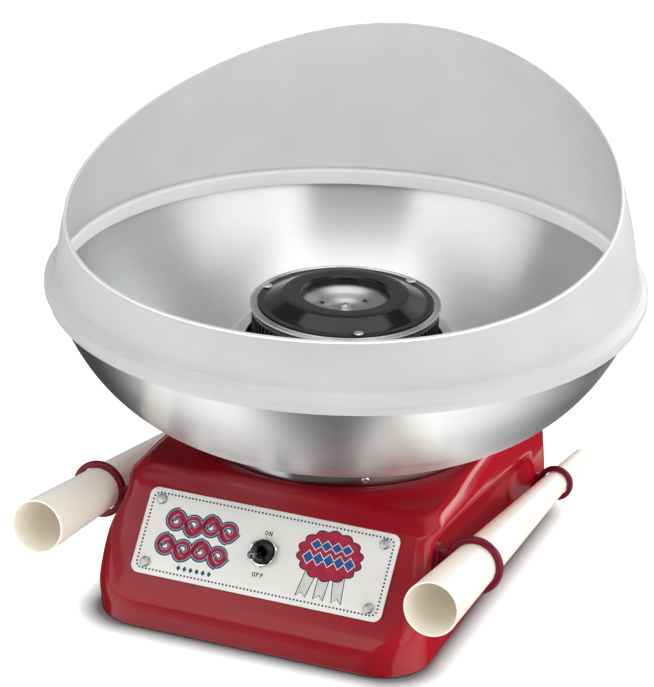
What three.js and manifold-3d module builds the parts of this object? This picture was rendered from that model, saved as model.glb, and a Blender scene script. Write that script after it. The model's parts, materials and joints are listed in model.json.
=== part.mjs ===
// Table-top cotton candy machine. Millimetres, +Z up, front towards -Y.
// Origin: spin axis of the head, on the table under the feet.
import * as THREE from 'three';
import { mergeVertices } from 'three/addons/utils/BufferGeometryUtils.js';
import Module from 'manifold-3d';

const wasm = await Module();
wasm.setup();
const { Manifold, Mesh: ManMesh } = wasm;

// ---- driving dimensions ---------------------------------------------------
const GAP = 0.3;               // running gap between neighbouring pieces
// base housing
const BASE_W = 92.7;           // half width at the skirt
const BASE_FRONT = 132.0;      // skirt front face, -Y
const BASE_REAR = 101;         // rear face, +Y
const BASE_R = 26.8;           // front vertical corner radius at the skirt
const BASE_RR = 24;            // rear vertical corner radius
const BASE_Z0 = 0.8;           // skirt edge above the table
const DECK_Z = 75.4;           // top of the neck
const DECK_DROP = 2.8;         // how far the deck falls away from the neck
const WALL = 2.6;              // housing wall
const FACE_DEG = 51;           // front face, from the table
const SKIRT_R = 18;            // fold between skirt and front face
const FOLD_R = 9;              // fold between front face and deck
const NECK_HOLE_R = 66;        // opening in the deck
// control panel
const PANEL_Y = -109.05, PANEL_Z = 46.8;   // centre of its outer face
const PANEL_W = 141, PANEL_H = 47, PANEL_T = 1.2, PANEL_CR = 4.6;
const RIVET_X = 63, RIVET_U = 17.25, RIVET_R = 2.75;
// toggle switch, 15/32 inch bushing
const BUSH_R = 5.95, NUT_AF = 14.3, NUT_T = 2.2, BUSH_OUT = 4.2;
const LEVER_L = 17.4, BALL_R = 2.3, LEVER_OFF_DEG = 17;
// bowl and its seat
const COLLAR_R = 79.8, COLLAR_IN = 74, COLLAR_Z0 = 75.8, COLLAR_Z1 = 85.0;
const BOWL_T = 0.9, BOWL_R = 156.1, BOWL_TOP = 157.4;
const BOWL_CTRL = [[155.4, 152.8], [133.1, 92.2], [75.4, 85.4]];
const HUB_R0 = 66, HUB_R1 = 62.4, HUB_Z = 126, HUB_HOLE = 54;
// splash shield
const SHIELD_R = 161.2, SHIELD_Z0 = 153.6, SHIELD_T = 1.4;
const WALL_R0 = 155.3, WALL_Z0 = 166.4;
const RIM_MEAN = 219.7, RIM_TILT = 37.3, RIM_CURVE = 7.9;
const RIM_TURN = 1.8;          // degrees the high side sits round from the back
// spinner head
const HEAD_R = 51.5, HEAD_Z = 146.7, DRUM_R = 50.6, DRUM_Z0 = 123.2;
const RIM_T = 2.0;             // depth of the ring round the head
const DOME_TOP = 152.2, DOME_HOLE = 23.2, DOME_FLAT = 32.3, DOME_FOOT = 43.4;
const SHAFT_R = 4;
// cones and their rings
const CONE_X = 108.5, CONE_Y = -154.8, CONE_Z = 60.6, CONE_L = 278;
const CONE_R0 = 14.4, CONE_R1 = 4.9, CONE_T = 1.0;
const CONE_YAW = 1.4, CONE_PITCH = -8;
const RING_S = [72, 224], RING_WIRE = [2.0, 1.7];
const CRADLE_R = 22;            // radius of the scoop in each side of the base
const THIRDS = [-60, 60, 180];  // screws, rivets and holes set round in threes

// ---- small helpers --------------------------------------------------------
const rad = (d) => d * Math.PI / 180;
const smooth = (a, b, x) => {
  const t = Math.min(1, Math.max(0, (x - a) / (b - a)));
  return t * t * (3 - 2 * t);
};
const V = (x, y, z) => new THREE.Vector3(x, y, z);

function closed(points, faces) {
  const g = new THREE.BufferGeometry();
  g.setAttribute('position', new THREE.Float32BufferAttribute(points.flat(), 3));
  g.setIndex(faces.flat());
  let vol = 0;
  for (const [a, b, c] of faces) {
    const [p, q, r] = [points[a], points[b], points[c]];
    vol += p[0] * (q[1] * r[2] - q[2] * r[1]) - p[1] * (q[0] * r[2] - q[2] * r[0])
      + p[2] * (q[0] * r[1] - q[1] * r[0]);
  }
  if (vol < 0) g.setIndex(faces.map(([a, b, c]) => [a, c, b]).flat());
  return g;
}
// rings of equal length joined side by side; the last joins the first unless capped
function ringSolid(rings, capped) {
  const n = rings[0].length, pts = rings.flat(), faces = [];
  const last = capped ? rings.length - 1 : rings.length;
  for (let k = 0; k < last; k++) {
    const k2 = (k + 1) % rings.length;
    for (let i = 0; i < n; i++) {
      const j = (i + 1) % n;
      faces.push([k * n + i, k * n + j, k2 * n + j], [k * n + i, k2 * n + j, k2 * n + i]);
    }
  }
  if (capped) {
    for (const k of [0, rings.length - 1]) {
      const c = rings[k].reduce((s, p) => [s[0] + p[0] / n, s[1] + p[1] / n, s[2] + p[2] / n], [0, 0, 0]);
      const ci = pts.push(c) - 1;
      for (let i = 0; i < n; i++) {
        const j = (i + 1) % n;
        faces.push(k === 0 ? [ci, j, i] : [ci, k * n + i, k * n + j]);
      }
    }
  }
  return closed(pts, faces);
}
// profile of [r, z] points round the Z axis; points with r = 0 become poles
function revolve(profile, n = 32, phase = 0) {
  const pts = [], rows = [];
  for (const [r, z] of profile) {
    if (r === 0) {
      rows.push([pts.push([0, 0, z]) - 1]);
      continue;
    }
    const row = [];
    for (let i = 0; i < n; i++) {
      const a = 2 * Math.PI * i / n + phase;
      row.push(pts.push([r * Math.cos(a), r * Math.sin(a), z]) - 1);
    }
    rows.push(row);
  }
  const faces = [], open = profile[0][0] === 0;
  const last = open ? rows.length - 1 : rows.length;
  for (let k = 0; k < last; k++) {
    const A = rows[k], B = rows[(k + 1) % rows.length];
    for (let i = 0; i < n; i++) {
      const j = (i + 1) % n;
      if (A.length === 1 && B.length === 1) continue;
      if (A.length === 1) faces.push([A[0], B[j], B[i]]);
      else if (B.length === 1) faces.push([A[i], A[j], B[0]]);
      else faces.push([A[i], A[j], B[j]], [A[i], B[j], B[i]]);
    }
  }
  return closed(pts, faces);
}
function prism(outline, z0, z1, holes = []) {
  const to2 = (l) => l.map(([x, y]) => new THREE.Vector2(x, y));
  let c = to2(outline);
  if (THREE.ShapeUtils.isClockWise(c)) c = c.reverse();
  const hs = holes.map((h) => {
    const v = to2(h);
    return THREE.ShapeUtils.isClockWise(v) ? v : v.reverse();
  });
  const tri = THREE.ShapeUtils.triangulateShape(c, hs);
  const all = [c, ...hs], flat = all.flat(), n = flat.length, faces = [];
  const pts = [...flat.map((p) => [p.x, p.y, z0]), ...flat.map((p) => [p.x, p.y, z1])];
  for (const [a, b, d] of tri) faces.push([a + n, b + n, d + n], [a, d, b]);
  let o = 0;
  for (const loop of all) {
    for (let i = 0; i < loop.length; i++) {
      const a = o + i, b = o + (i + 1) % loop.length;
      faces.push([a, b, b + n], [a, b + n, a + n]);
    }
    o += loop.length;
  }
  return closed(pts, faces);
}
const ngon = (r, n, cx = 0, cy = 0, ph = 0) => Array.from({ length: n }, (_, i) => {
  const a = 2 * Math.PI * i / n + ph;
  return [cx + r * Math.cos(a), cy + r * Math.sin(a)];
});
function roundRect(w, h, r, k = 5, cx = 0, cy = 0) {
  const out = [];
  for (const [sx, sy, a0] of [[1, -1, -90], [1, 1, 0], [-1, 1, 90], [-1, -1, 180]]) {
    for (let i = 0; i <= k; i++) {
      const a = rad(a0 + 90 * i / k);
      out.push([cx + sx * (w / 2 - r) + r * Math.cos(a), cy + sy * (h / 2 - r) + r * Math.sin(a)]);
    }
  }
  return out;
}
const brick = (x0, x1, y0, y1, z0, z1) =>
  prism([[x0, y0], [x1, y0], [x1, y1], [x0, y1]], z0, z1);
const disc = (r, z0, z1, n = 24) => revolve([[0, z0], [r, z0], [r, z1], [0, z1]], n);
const tube = (r0, r1, z0, z1, n = 28) => revolve([[r0, z0], [r1, z0], [r1, z1], [r0, z1]], n);
const at = (g, x, y, z) => g.clone().translate(x, y, z);

function weld(g) {
  const h = g.clone();
  h.deleteAttribute('normal');
  h.deleteAttribute('uv');
  return h.index ? h : mergeVertices(h, 1e-4);
}
function solid(g) {
  const w = mergeVertices(weld(g), 1e-4);
  const m = new ManMesh({
    numProp: 3,
    vertProperties: new Float32Array(w.attributes.position.array),
    triVerts: new Uint32Array(w.index.array),
  });
  return new Manifold(m);
}
function geom(m) {
  const q = m.getMesh();
  const g = new THREE.BufferGeometry();
  const p = [];
  for (let i = 0; i < q.numVert; i++) {
    for (let k = 0; k < 3; k++) p.push(q.vertProperties[i * q.numProp + k]);
  }
  g.setAttribute('position', new THREE.Float32BufferAttribute(p, 3));
  g.setIndex(Array.from(q.triVerts));
  return g;
}
const cut = (g, ...tools) => geom(tools.reduce((a, t) => a.subtract(solid(t)), solid(g)));
const join = (g, ...others) => geom(others.reduce((a, t) => a.add(solid(t)), solid(g)));

// ---- frames ---------------------------------------------------------------
const face = rad(FACE_DEG);
const FACE = new THREE.Matrix4().makeBasis(V(1, 0, 0), V(0, Math.cos(face), Math.sin(face)),
  V(0, -Math.sin(face), Math.cos(face))).setPosition(0, PANEL_Y, PANEL_Z);
const onFace = (g) => g.clone().applyMatrix4(FACE);
function coneFrame(side) {
  const p = rad(CONE_PITCH), w = rad(CONE_YAW);
  const d = V(-side * Math.sin(w) * Math.cos(p), Math.cos(w) * Math.cos(p), Math.sin(p));
  const x = V(side, 0, 0).addScaledVector(d, -d.x * side).normalize();
  const y = new THREE.Vector3().crossVectors(d, x);
  return new THREE.Matrix4().makeBasis(x, y, d).setPosition(side * CONE_X, CONE_Y, CONE_Z);
}

// ---- base housing ---------------------------------------------------------
const slope = 1 / Math.tan(face);
const faceY = (z) => {                        // housing face lies under the panel
  const off = PANEL_T + GAP;
  const y0 = PANEL_Y + off * Math.sin(face), z0 = PANEL_Z - off * Math.cos(face);
  return y0 + (z - z0) * slope;
};
function outline(w, yf, yr, rf, rr) {
  const out = [];
  const arc = (cx, cy, r, a0, k) => {
    for (let i = 0; i <= k; i++) {
      const a = rad(a0 + 90 * i / k);
      out.push([cx + r * Math.cos(a), cy + r * Math.sin(a)]);
    }
  };
  const line = (x0, y0, x1, y1, k) => {
    for (let i = 1; i < k; i++) out.push([x0 + (x1 - x0) * i / k, y0 + (y1 - y0) * i / k]);
  };
  arc(w - rf, yf + rf, rf, -90, 4);
  line(w, yf + rf, w, yr - rr, 9);
  arc(w - rr, yr - rr, rr, 0, 4);
  line(w - rr, yr, -w + rr, yr, 4);
  arc(-w + rr, yr - rr, rr, 90, 4);
  line(-w, yr - rr, -w, yf + rf, 9);
  arc(-w + rf, yf + rf, rf, 180, 4);
  line(-w + rf, yf, w - rf, yf, 6);
  return out;
}
function cradle(x, y, z, wall) {              // scoop in each side, round the cone's own axis
  const run = y - CONE_Y, ax = CONE_X - run * Math.tan(rad(CONE_YAW));
  const h = z - (CONE_Z + run * Math.tan(rad(CONE_PITCH)));
  if (Math.abs(x) < 60 || Math.abs(h) >= CRADLE_R) return 0;
  const depth = Math.max(0, wall - (ax - Math.sqrt(CRADLE_R ** 2 - h * h)));
  return -Math.sign(x) * depth * smooth(-106, -84, y) * (1 - smooth(46, 64, y));
}
const neckDrop = (x, y) => DECK_DROP * smooth(82, 98, Math.hypot(x, y));
function sections() {
  const zSkirt = (-BASE_FRONT - faceY(0)) / slope;
  const tl = SKIRT_R * Math.tan(rad((90 - FACE_DEG) / 2)), s = [];
  s.push([BASE_Z0, BASE_W - 0.7, -BASE_FRONT + 0.7, BASE_REAR - 0.7, BASE_R, BASE_RR]);
  s.push([BASE_Z0 + 0.8, BASE_W, -BASE_FRONT, BASE_REAR, BASE_R, BASE_RR]);
  for (const a of [0, 13, 26, 90 - FACE_DEG]) {
    const z = zSkirt - tl + SKIRT_R * Math.sin(rad(a));
    const yf = -BASE_FRONT + SKIRT_R * (1 - Math.cos(rad(a)));
    s.push([z, BASE_W - 0.012 * a, yf, BASE_REAR, BASE_R - 0.07 * a, BASE_RR]);
  }
  for (const [z, w, rf] of [[30, 91.4, 18], [38, 90.9, 14], [46, 90.4, 11], [54, 90, 10], [63, 88.9, 10]]) {
    s.push([z, w, faceY(z), BASE_REAR - 0.02 * z, rf, BASE_RR]);
  }
  const yc = faceY(DECK_Z) + FOLD_R * Math.tan(face / 2);
  for (const a of [FACE_DEG, 34, 17, 0]) {
    const z = DECK_Z - FOLD_R * (1 - Math.cos(rad(a)));
    const k = Math.sqrt(Math.sin(rad(a)) / Math.sin(face));
    s.push([z, 81 + 5.9 * k, yc - FOLD_R * Math.sin(rad(a)), 94 + 5.6 * k, 10, 20]);
  }
  return s;
}
function sectionRing([z, w, yf, yr, rf, rr], inset) {
  const i = inset, steep = yf > -BASE_FRONT + 4 ? 1 / Math.sin(face) : 1;
  const o = outline(w - i, yf + i * steep, yr - i, Math.max(4, rf - i), Math.max(4, rr - i));
  const top = smooth(64, 73, z);
  return o.map(([x, y]) => [x + cradle(x, y, z, w), y, z - neckDrop(x, y) * top]);
}
function toCircle(ring, r, z) {
  return ring.map(([x, y]) => {
    const a = Math.atan2(y, x);
    return [r * Math.cos(a), r * Math.sin(a), z];
  });
}
function baseShell() {
  const secs = sections();
  const outer = secs.map((s) => sectionRing(s, 0));
  const rim = outer[outer.length - 1];
  const neck = toCircle(rim, 77.5, DECK_Z), hole = toCircle(rim, NECK_HOLE_R, DECK_Z);
  const kept = secs.filter((_, k) => ![0, 1, 3, 4, 6, 8, 10, 12, 13].includes(k));
  kept.unshift([BASE_Z0, ...secs[1].slice(1)]);
  const inner = kept.map((s) => sectionRing(s, WALL)
    .map(([x, y, z]) => [x, y, z - WALL * smooth(50, DECK_Z - 3, s[0])]));
  const in0 = toCircle(rim, NECK_HOLE_R, DECK_Z - WALL), in1 = toCircle(rim, 75, DECK_Z - WALL);
  const back = inner.slice().reverse();
  return ringSolid([...outer, neck, hole, in0, in1, ...back], false);
}
const BOSS = [[-85.6, -62], [85.6, -62], [-85.6, 66], [85.6, 66]];
const coneRadius = (s) => CONE_R0 + (CONE_R1 - CONE_R0) * s / CONE_L;
function tabBox(side, s, grow) {
  const c = V(0, 0, s).applyMatrix4(coneFrame(side));
  const front = s === RING_S[0];
  const x0 = front ? 79 : 86;
  const x1 = Math.abs(c.x) - coneRadius(s) - 1.2;
  const h = (front ? 5.5 : 4.5) + grow;
  const b = brick(x0 - grow, x1 + grow, c.y - 1.6 - grow, c.y + 1.6 + grow, c.z - h, c.z + h);
  return side < 0 ? b.clone().scale(-1, 1, 1) : b;
}
function flipFix(g) {                         // after a mirror the winding is turned back
  const i = Array.from(g.index.array);
  const out = [];
  for (let k = 0; k < i.length; k += 3) out.push([i[k], i[k + 1], i[k + 2]]);
  const p = g.attributes.position;
  const pts = [];
  for (let k = 0; k < p.count; k++) pts.push([p.getX(k), p.getY(k), p.getZ(k)]);
  return closed(pts, out);
}
function baseHousing() {
  let body = baseShell();
  const posts = BOSS.map(([x, y]) => at(disc(4.2, 6.4, 26, 16), x, y, 0));
  const pilots = BOSS.map(([x, y]) => at(disc(1.8, 5, 18, 12), x, y, 0));
  const rivets = rivetSpots().map(([x, u]) => onFace(at(disc(1.6, -9, 2, 12), x, u, 0)));
  const tabs = [-1, 1].flatMap((d) => RING_S.map((s) => flipFix(tabBox(d, s, 0.35))));
  body = join(body, ...posts);
  return cut(body, ...pilots, ...rivets, ...tabs, onFace(disc(BUSH_R + 0.35, -9, 3, 24)),
    glandTool(5.9));
}
const GLAND = [-48, 30];
const glandTool = (r) => {
  const g = disc(r, -8, 8, 20);
  g.rotateX(Math.PI / 2);
  return at(g, GLAND[0], BASE_REAR - 2, GLAND[1]);
};
function bottomCover() {
  const o = outline(BASE_W - WALL - 0.5, -BASE_FRONT + WALL + 0.5, BASE_REAR - WALL - 0.5, 23.4, 20.6);
  const holes = BOSS.map(([x, y]) => ngon(1.8, 12, x, y));
  for (let i = -2; i <= 2; i++) holes.push(roundRect(5, 44, 2.4, 2, i * 12, 0));
  return prism(o, 3.5, 6.0, holes);
}
const foot = () => revolve([[0, 0], [7.2, 0], [8, 0.8], [8, 3.2], [0, 3.2]], 16);
const coverScrew = () => revolve([[0, 2.1], [2.6, 2.1], [3, 2.5], [3, 3.2], [1.5, 3.2], [1.5, 14],
  [0, 14]], 10);

// ---- control panel and toggle switch --------------------------------------
const rivetSpots = () => [[-1, 1], [1, 1], [-1, -1], [1, -1]].map(([i, j]) => [i * RIVET_X, j * RIVET_U]);
function controlPanel() {
  const holes = [ngon(BUSH_R + 0.35, 24), ...rivetSpots().map(([x, u]) => ngon(1.5, 12, x, u))];
  return onFace(prism(roundRect(PANEL_W, PANEL_H, PANEL_CR), -PANEL_T, 0, holes));
}
const panelRivet = () => revolve([[0, -7], [1.2, -7], [1.2, GAP], [RIVET_R, GAP], [2.5, 0.75],
  [1.6, 1.25], [0, 1.5]], 12);
const switchBody = () => onFace(prism(roundRect(14, 21, 1.5, 2), -24, -6.8));
const switchBushing = () => onFace(revolve([[0, -6.5], [BUSH_R, -6.5], [BUSH_R, BUSH_OUT - 0.4],
  [BUSH_R - 0.4, BUSH_OUT], [3.6, BUSH_OUT], [2.9, BUSH_OUT - 6.4], [0, BUSH_OUT - 6.4]], 24));
const switchNut = () => onFace(at(prism(ngon(NUT_AF / 2 / Math.cos(Math.PI / 6), 6, 0, 0, Math.PI / 2),
  GAP, GAP + NUT_T, [ngon(BUSH_R + GAP, 24)]), 0, 0, 0));
const PIVOT_U = BUSH_OUT - 3.4;
function switchLever() {
  const g = revolve([[0, -2.2], [1.6, -1.6], [2.2, 0], [1.75, 1.3], [1.45, 3.2], [1.35, 8],
    [1.2, LEVER_L - 2.4], [1.1, LEVER_L - 2.0], [1.9, LEVER_L - 1.3], [BALL_R, LEVER_L],
    [1.9, LEVER_L + 1.3], [1.0, LEVER_L + 2.05], [0, LEVER_L + BALL_R]], 12);
  g.rotateX(rad(LEVER_OFF_DEG));
  return onFace(at(g, 0, 0, PIVOT_U));
}

// ---- seat, pedestal and bowl ----------------------------------------------
function seatCollar() {
  const g = revolve([[COLLAR_IN, COLLAR_Z0], [COLLAR_R, COLLAR_Z0], [COLLAR_R, COLLAR_Z1 - 1.4],
    [COLLAR_R - 1.4, COLLAR_Z1], [COLLAR_IN, COLLAR_Z1]], 36);
  return cut(g, ...THIRDS.map((d) => radial(disc(1.4, -12, 3, 12), d, COLLAR_R, 79.4)));
}
function radial(g, deg, r, z) {
  const h = g.clone();
  h.rotateY(Math.PI / 2);
  h.translate(r, 0, z);
  h.rotateZ(rad(deg));
  return h;
}
const collarScrew = (deg) => radial(revolve([[0, -7], [1.1, -7], [1.1, 0.3], [2.1, 0.3], [2.0, 0.9],
  [1.2, 1.25], [0, 1.35]], 10), deg, COLLAR_R, 79.4);
const pedestal = () => revolve([[COLLAR_IN - 1.2, DECK_Z + GAP], [COLLAR_IN - 1.2, DECK_Z + 1.7],
  [58.4, DECK_Z + 1.7], [58.4, 114.6], [56.6, 116], [21, 116], [21, 114.8],
  [56.4, 114.8], [57.2, 114], [57.2, DECK_Z + GAP]], 28);
const bez = (t, [a, b, c]) => [0, 1].map((i) =>
  (1 - t) ** 2 * a[i] + 2 * t * (1 - t) * b[i] + t * t * c[i]);
function bowl() {
  const path = [[BOWL_R, BOWL_TOP], [BOWL_R, 155.4]];
  for (let i = 0; i <= 9; i++) path.push(bez(i / 9, BOWL_CTRL));
  path.push([69.5, 85.6], [HUB_R0 + 0.3, 88.6], [HUB_R1 + 0.3, HUB_Z - 4.4], [HUB_R1 - 0.9, HUB_Z - 2.0]);
  path.push([HUB_R1 - 3.2, HUB_Z - BOWL_T], [HUB_HOLE, HUB_Z - BOWL_T]);
  const off = path.map((p, i) => {
    const a = path[Math.max(0, i - 1)], b = path[Math.min(path.length - 1, i + 1)];
    const tx = b[0] - a[0], tz = b[1] - a[1], l = Math.hypot(tx, tz);
    return [p[0] + BOWL_T * tz / l, p[1] - BOWL_T * tx / l];
  });
  off[0] = [BOWL_R - BOWL_T, BOWL_TOP];
  off[off.length - 1] = [HUB_HOLE, HUB_Z];
  return revolve([...path, ...off.reverse()], 44);
}
const wallR = (z) => WALL_R0 - 7.73 * (z - 166) / 100 - 22.3 * ((z - 166) / 100) ** 2;
function rimZ(a) {
  const t = a - rad(RIM_TURN);
  return RIM_MEAN + RIM_TILT * Math.sin(t) - RIM_CURVE * Math.cos(2 * t);
}
function splashShield() {
  const n = 44;
  const angles = Array.from({ length: n }, (_, i) => 2 * Math.PI * i / n);
  const circle = ([r, z]) => angles.map((a) => [r * Math.cos(a), r * Math.sin(a), z]);
  const wall = (t, off) => angles.map((a) => {
    const z = WALL_Z0 + t * (rimZ(a) - WALL_Z0);
    const r = wallR(z) - off;
    return [r * Math.cos(a), r * Math.sin(a), z];
  });
  const skirt = [[156.7, SHIELD_Z0], [157.9, SHIELD_Z0], [159.8, 155.4], [160.9, 157.6], [SHIELD_R, 159.8],
    [160.5, 162.2], [159.2, 163.9], [156.8, 165.1]];
  const seat = [[153.5, 164.2], [152.8, 163.4], [152.8, 155.9], [154.4, 155.9], [154.4, 157.7],
    [157.0, 157.7], [157.0, 162.4], [158.8, 161.4], [159.7, 159.6], [159.2, 158.2], [158.2, 156.6],
    [156.7, 155.4]];
  const up = [0, 0.25, 0.5, 0.75, 1].map((t) => wall(t, 0));
  const down = [1, 0.75, 0.5, 0.25, 0].map((t) => wall(t, SHIELD_T));
  return ringSolid([...skirt.map(circle), ...up, ...down, ...seat.map(circle)], false);
}

// ---- spinner head ---------------------------------------------------------
const headBase = () => revolve([[SHAFT_R + GAP, 120.4], [49.6, 120.4], [49.6, 122.8],
  [SHAFT_R + GAP, 122.8]], 36);
function heaterDrum() {
  const g = tube(DRUM_R - 1.6, DRUM_R, DRUM_Z0, HEAD_Z - RIM_T - GAP - 0.2, 40);
  const cuts = [];
  for (let i = 0; i < 20; i++) {
    const b = brick(DRUM_R - 3, DRUM_R + 2, -1.1, 1.1, DRUM_Z0 + 3.5, HEAD_Z - 7);
    b.rotateZ(2 * Math.PI * (i + 0.5) / 20);
    cuts.push(b);
  }
  return cut(g, ...cuts);
}
const heaterRibbon = () => tube(45.2, 46, 126, 140, 36);
const headRim = () => revolve([[DOME_FOOT + 1.2, HEAD_Z - RIM_T], [HEAD_R - 0.4, HEAD_Z - RIM_T],
  [HEAD_R, HEAD_Z - RIM_T + 0.4],
  [HEAD_R, HEAD_Z - 0.5], [HEAD_R - 0.5, HEAD_Z], [HEAD_R - 3.6, HEAD_Z], [HEAD_R - 3.9, HEAD_Z - 0.3],
  [HEAD_R - 3.9, HEAD_Z - 0.95], [DOME_FOOT + 1.2, HEAD_Z - 0.95]], 36);
function headCover() {
  const top = [[HEAD_R - 4.2, HEAD_Z - 0.6], [HEAD_R - 4.2, HEAD_Z + 0.5], [DOME_FOOT + 0.6, HEAD_Z + 0.5],
    [DOME_FOOT - 0.8, HEAD_Z + 0.9], [DOME_FLAT + 1.2, DOME_TOP - 0.5], [DOME_FLAT - 0.6, DOME_TOP],
    [DOME_HOLE + 0.8, DOME_TOP], [DOME_HOLE, DOME_TOP - 0.8]];
  const under = [[DOME_HOLE, DOME_TOP - 4.2], [DOME_HOLE + 1.2, DOME_TOP - 4.2],
    [DOME_HOLE + 1.4, DOME_TOP - 1.4], [DOME_FLAT - 0.4, DOME_TOP - 1.6], [DOME_FOOT - 1.8, HEAD_Z - 0.6]];
  return revolve([...top, ...under], 36);
}
function sugarPlate() {
  const over = [[SHAFT_R + 1.2, 142.4], [9, 142.6], [11, 143.8], [16.6, 144.0], [22.6, 147.4], [30, 147.6]];
  const under = [[30, 146.6], [23, 146.4], [17, 143.0], [11, 142.8], [9, 141.6], [SHAFT_R + 1.2, 141.4]];
  const holes = THIRDS.map((d) => {
    const a = rad(d);
    return at(disc(1.1, 140, 148, 8), 13.8 * Math.cos(a), 13.8 * Math.sin(a), 0);
  });
  return cut(revolve([...under.reverse(), ...over.reverse()], 32), ...holes);
}
const headScrew = () => revolve([[0, 142.7], [SHAFT_R + 2, 142.7], [SHAFT_R + 2, 143.3], [2.9, 143.4],
  [2.9, 145.0], [2.3, 145.5], [0, 145.6]], 12);
const headRivet = () => revolve([[0, HEAD_Z + 0.8], [1.2, HEAD_Z + 0.8], [1.2, HEAD_Z + 1.25],
  [2.65, HEAD_Z + 1.25], [2.4, HEAD_Z + 1.7], [1.4, HEAD_Z + 2.05], [0, HEAD_Z + 2.15]], 12);

// ---- motor, slip rings and wiring -----------------------------------------
const shaft = () => revolve([[0, 9], [SHAFT_R - 0.6, 9], [SHAFT_R, 9.6], [SHAFT_R, 142.3], [0, 142.3]], 24);
function fan() {
  const blades = [];
  for (let i = 0; i < 6; i++) {
    const b = brick(8, 31, -0.9, 0.9, -4.2, 4.2);
    b.rotateX(rad(38));
    b.translate(0, 0, 15.2);
    b.rotateZ(2 * Math.PI * i / 6);
    blades.push(b);
  }
  return join(tube(SHAFT_R + GAP, 9, 10.5, 20, 24), ...blades);
}
const rotor = () => tube(SHAFT_R + GAP, 17, 36, 58, 24);
function stator() {
  return prism(roundRect(64, 64, 9, 4), 36, 58, [ngon(17.6, 24)]);
}
const coilRing = (z0, z1) => prism(roundRect(52, 52, 20, 6), z0, z1, [ngon(19.2, 24)]);
function motorBridge() {
  const vents = [[38, 0], [0, 38], [-38, 0], [0, -38]].map(([x, y]) => ngon(11, 12, x, y));
  const plate = prism(ngon(62, 36), 68.4, 70.4, [ngon(9.4, 20), ...vents]);
  const corners = [[27, 27], [27, -27], [-27, 27], [-27, -27]];
  return join(plate, ...corners.map(([x, y]) => at(disc(2.6, 58.3, 69, 10), x, y, 0)));
}
const lowerBridge = () => join(prism(roundRect(64, 20, 5, 3), 26, 28, [ngon(7.4, 24)]),
  at(disc(2.2, 27, 35.7, 10), 29, 0, 0), at(disc(2.2, 27, 35.7, 10), -29, 0, 0));
const bearing = (z0, z1, r) => tube(SHAFT_R + 0.35, r, z0, z1, 20);
const slipHub = () => revolve([[SHAFT_R + GAP, 84], [13, 84], [13, 108], [SHAFT_R + GAP, 108]], 24);
const slipRing = (z0) => tube(13.3, 16, z0, z0 + 5, 24);
function brushBlock() {
  const g = brick(20, 36, -9, 9, 77.6, 108);
  return cut(g, brick(18, 32, -3.3, 3.3, 87.7, 93.3), brick(18, 32, -3.3, 3.3, 98.7, 104.3));
}
const brush = (z0) => brick(16.4, 30, -3, 3, z0, z0 + 5);
const terminalBlock = () => cut(brick(-56, -30, 48, 60, 6.4, 17), ...[-50, -43, -36].map((x) =>
  at(disc(2, 10, 20, 12), x, 54, 0)));
function cordGland() {
  const g = revolve([[3.4, -7], [5.4, -7], [5.4, -0.2], [8.4, -0.2], [8.4, 2.0], [6.2, 3.2],
    [3.4, 3.2]], 18);
  g.rotateX(-Math.PI / 2);
  return at(g, GLAND[0], BASE_REAR + 0.5, GLAND[1]);
}

// ---- cones and their rings ------------------------------------------------
function cone(side) {
  const g = revolve([[0, CONE_L], [CONE_R1 - 1.2, CONE_L - 0.1], [CONE_R1, CONE_L - 1.6],
    [CONE_R0, 0.5], [CONE_R0 - 0.4, 0], [CONE_R0 - CONE_T, 0.3],
    [CONE_R1 - CONE_T, CONE_L - 6], [0, CONE_L - 4.6]], 24);
  return g.applyMatrix4(coneFrame(side));
}
function coneRing(side, k) {
  const s = RING_S[k];
  const w = RING_WIRE[k];
  const R = coneRadius(s - w) + GAP + w;
  const prof = [];
  for (let i = 0; i < 8; i++) {
    const a = 2 * Math.PI * i / 8;
    prof.push([R + w * Math.cos(a), s + w * Math.sin(a)]);
  }
  const hoop = flipFix(revolve(prof, 20).applyMatrix4(coneFrame(side)));
  const tab = flipFix(tabBox(side, s, 0));
  const clear = flipFix(disc(R - w + 0.02, s - 12, s + 12, 20).applyMatrix4(coneFrame(side)));
  return cut(join(hoop, tab), clear);
}

// ---- assembly -------------------------------------------------------------
const paints = {
  housing: [0xa51424, 0.25, 0.0], ring: [0x82142d, 0.25, 0.0], panel: [0xebe9e4, 0.5, 0.0],
  steel: [0xb9bcbe, 0.32, 1.0], chrome: [0xd6d8da, 0.12, 1.0], black: [0x151617, 0.2, 0.1],
  rubber: [0x202022, 0.8, 0.0], frost: [0xd2d5d6, 0.45, 0.0], ivory: [0xf2eddc, 0.35, 0.0],
  copper: [0xa4592c, 0.4, 0.9], iron: [0x6d7073, 0.5, 0.9], brass: [0xb08d45, 0.35, 1.0],
  bakelite: [0x2a2421, 0.5, 0.0], carbon: [0x1b1b1d, 0.7, 0.0], nylon: [0x2c2d30, 0.55, 0.0],
};
const group = new THREE.Group();
function add(name, geometry, paint) {
  const [color, roughness, metalness] = paints[paint];
  const g = weld(geometry).toNonIndexed();
  g.computeVertexNormals();
  const m = new THREE.Mesh(g, new THREE.MeshStandardMaterial({ color, roughness, metalness }));
  m.name = name;
  group.add(m);
}
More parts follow.
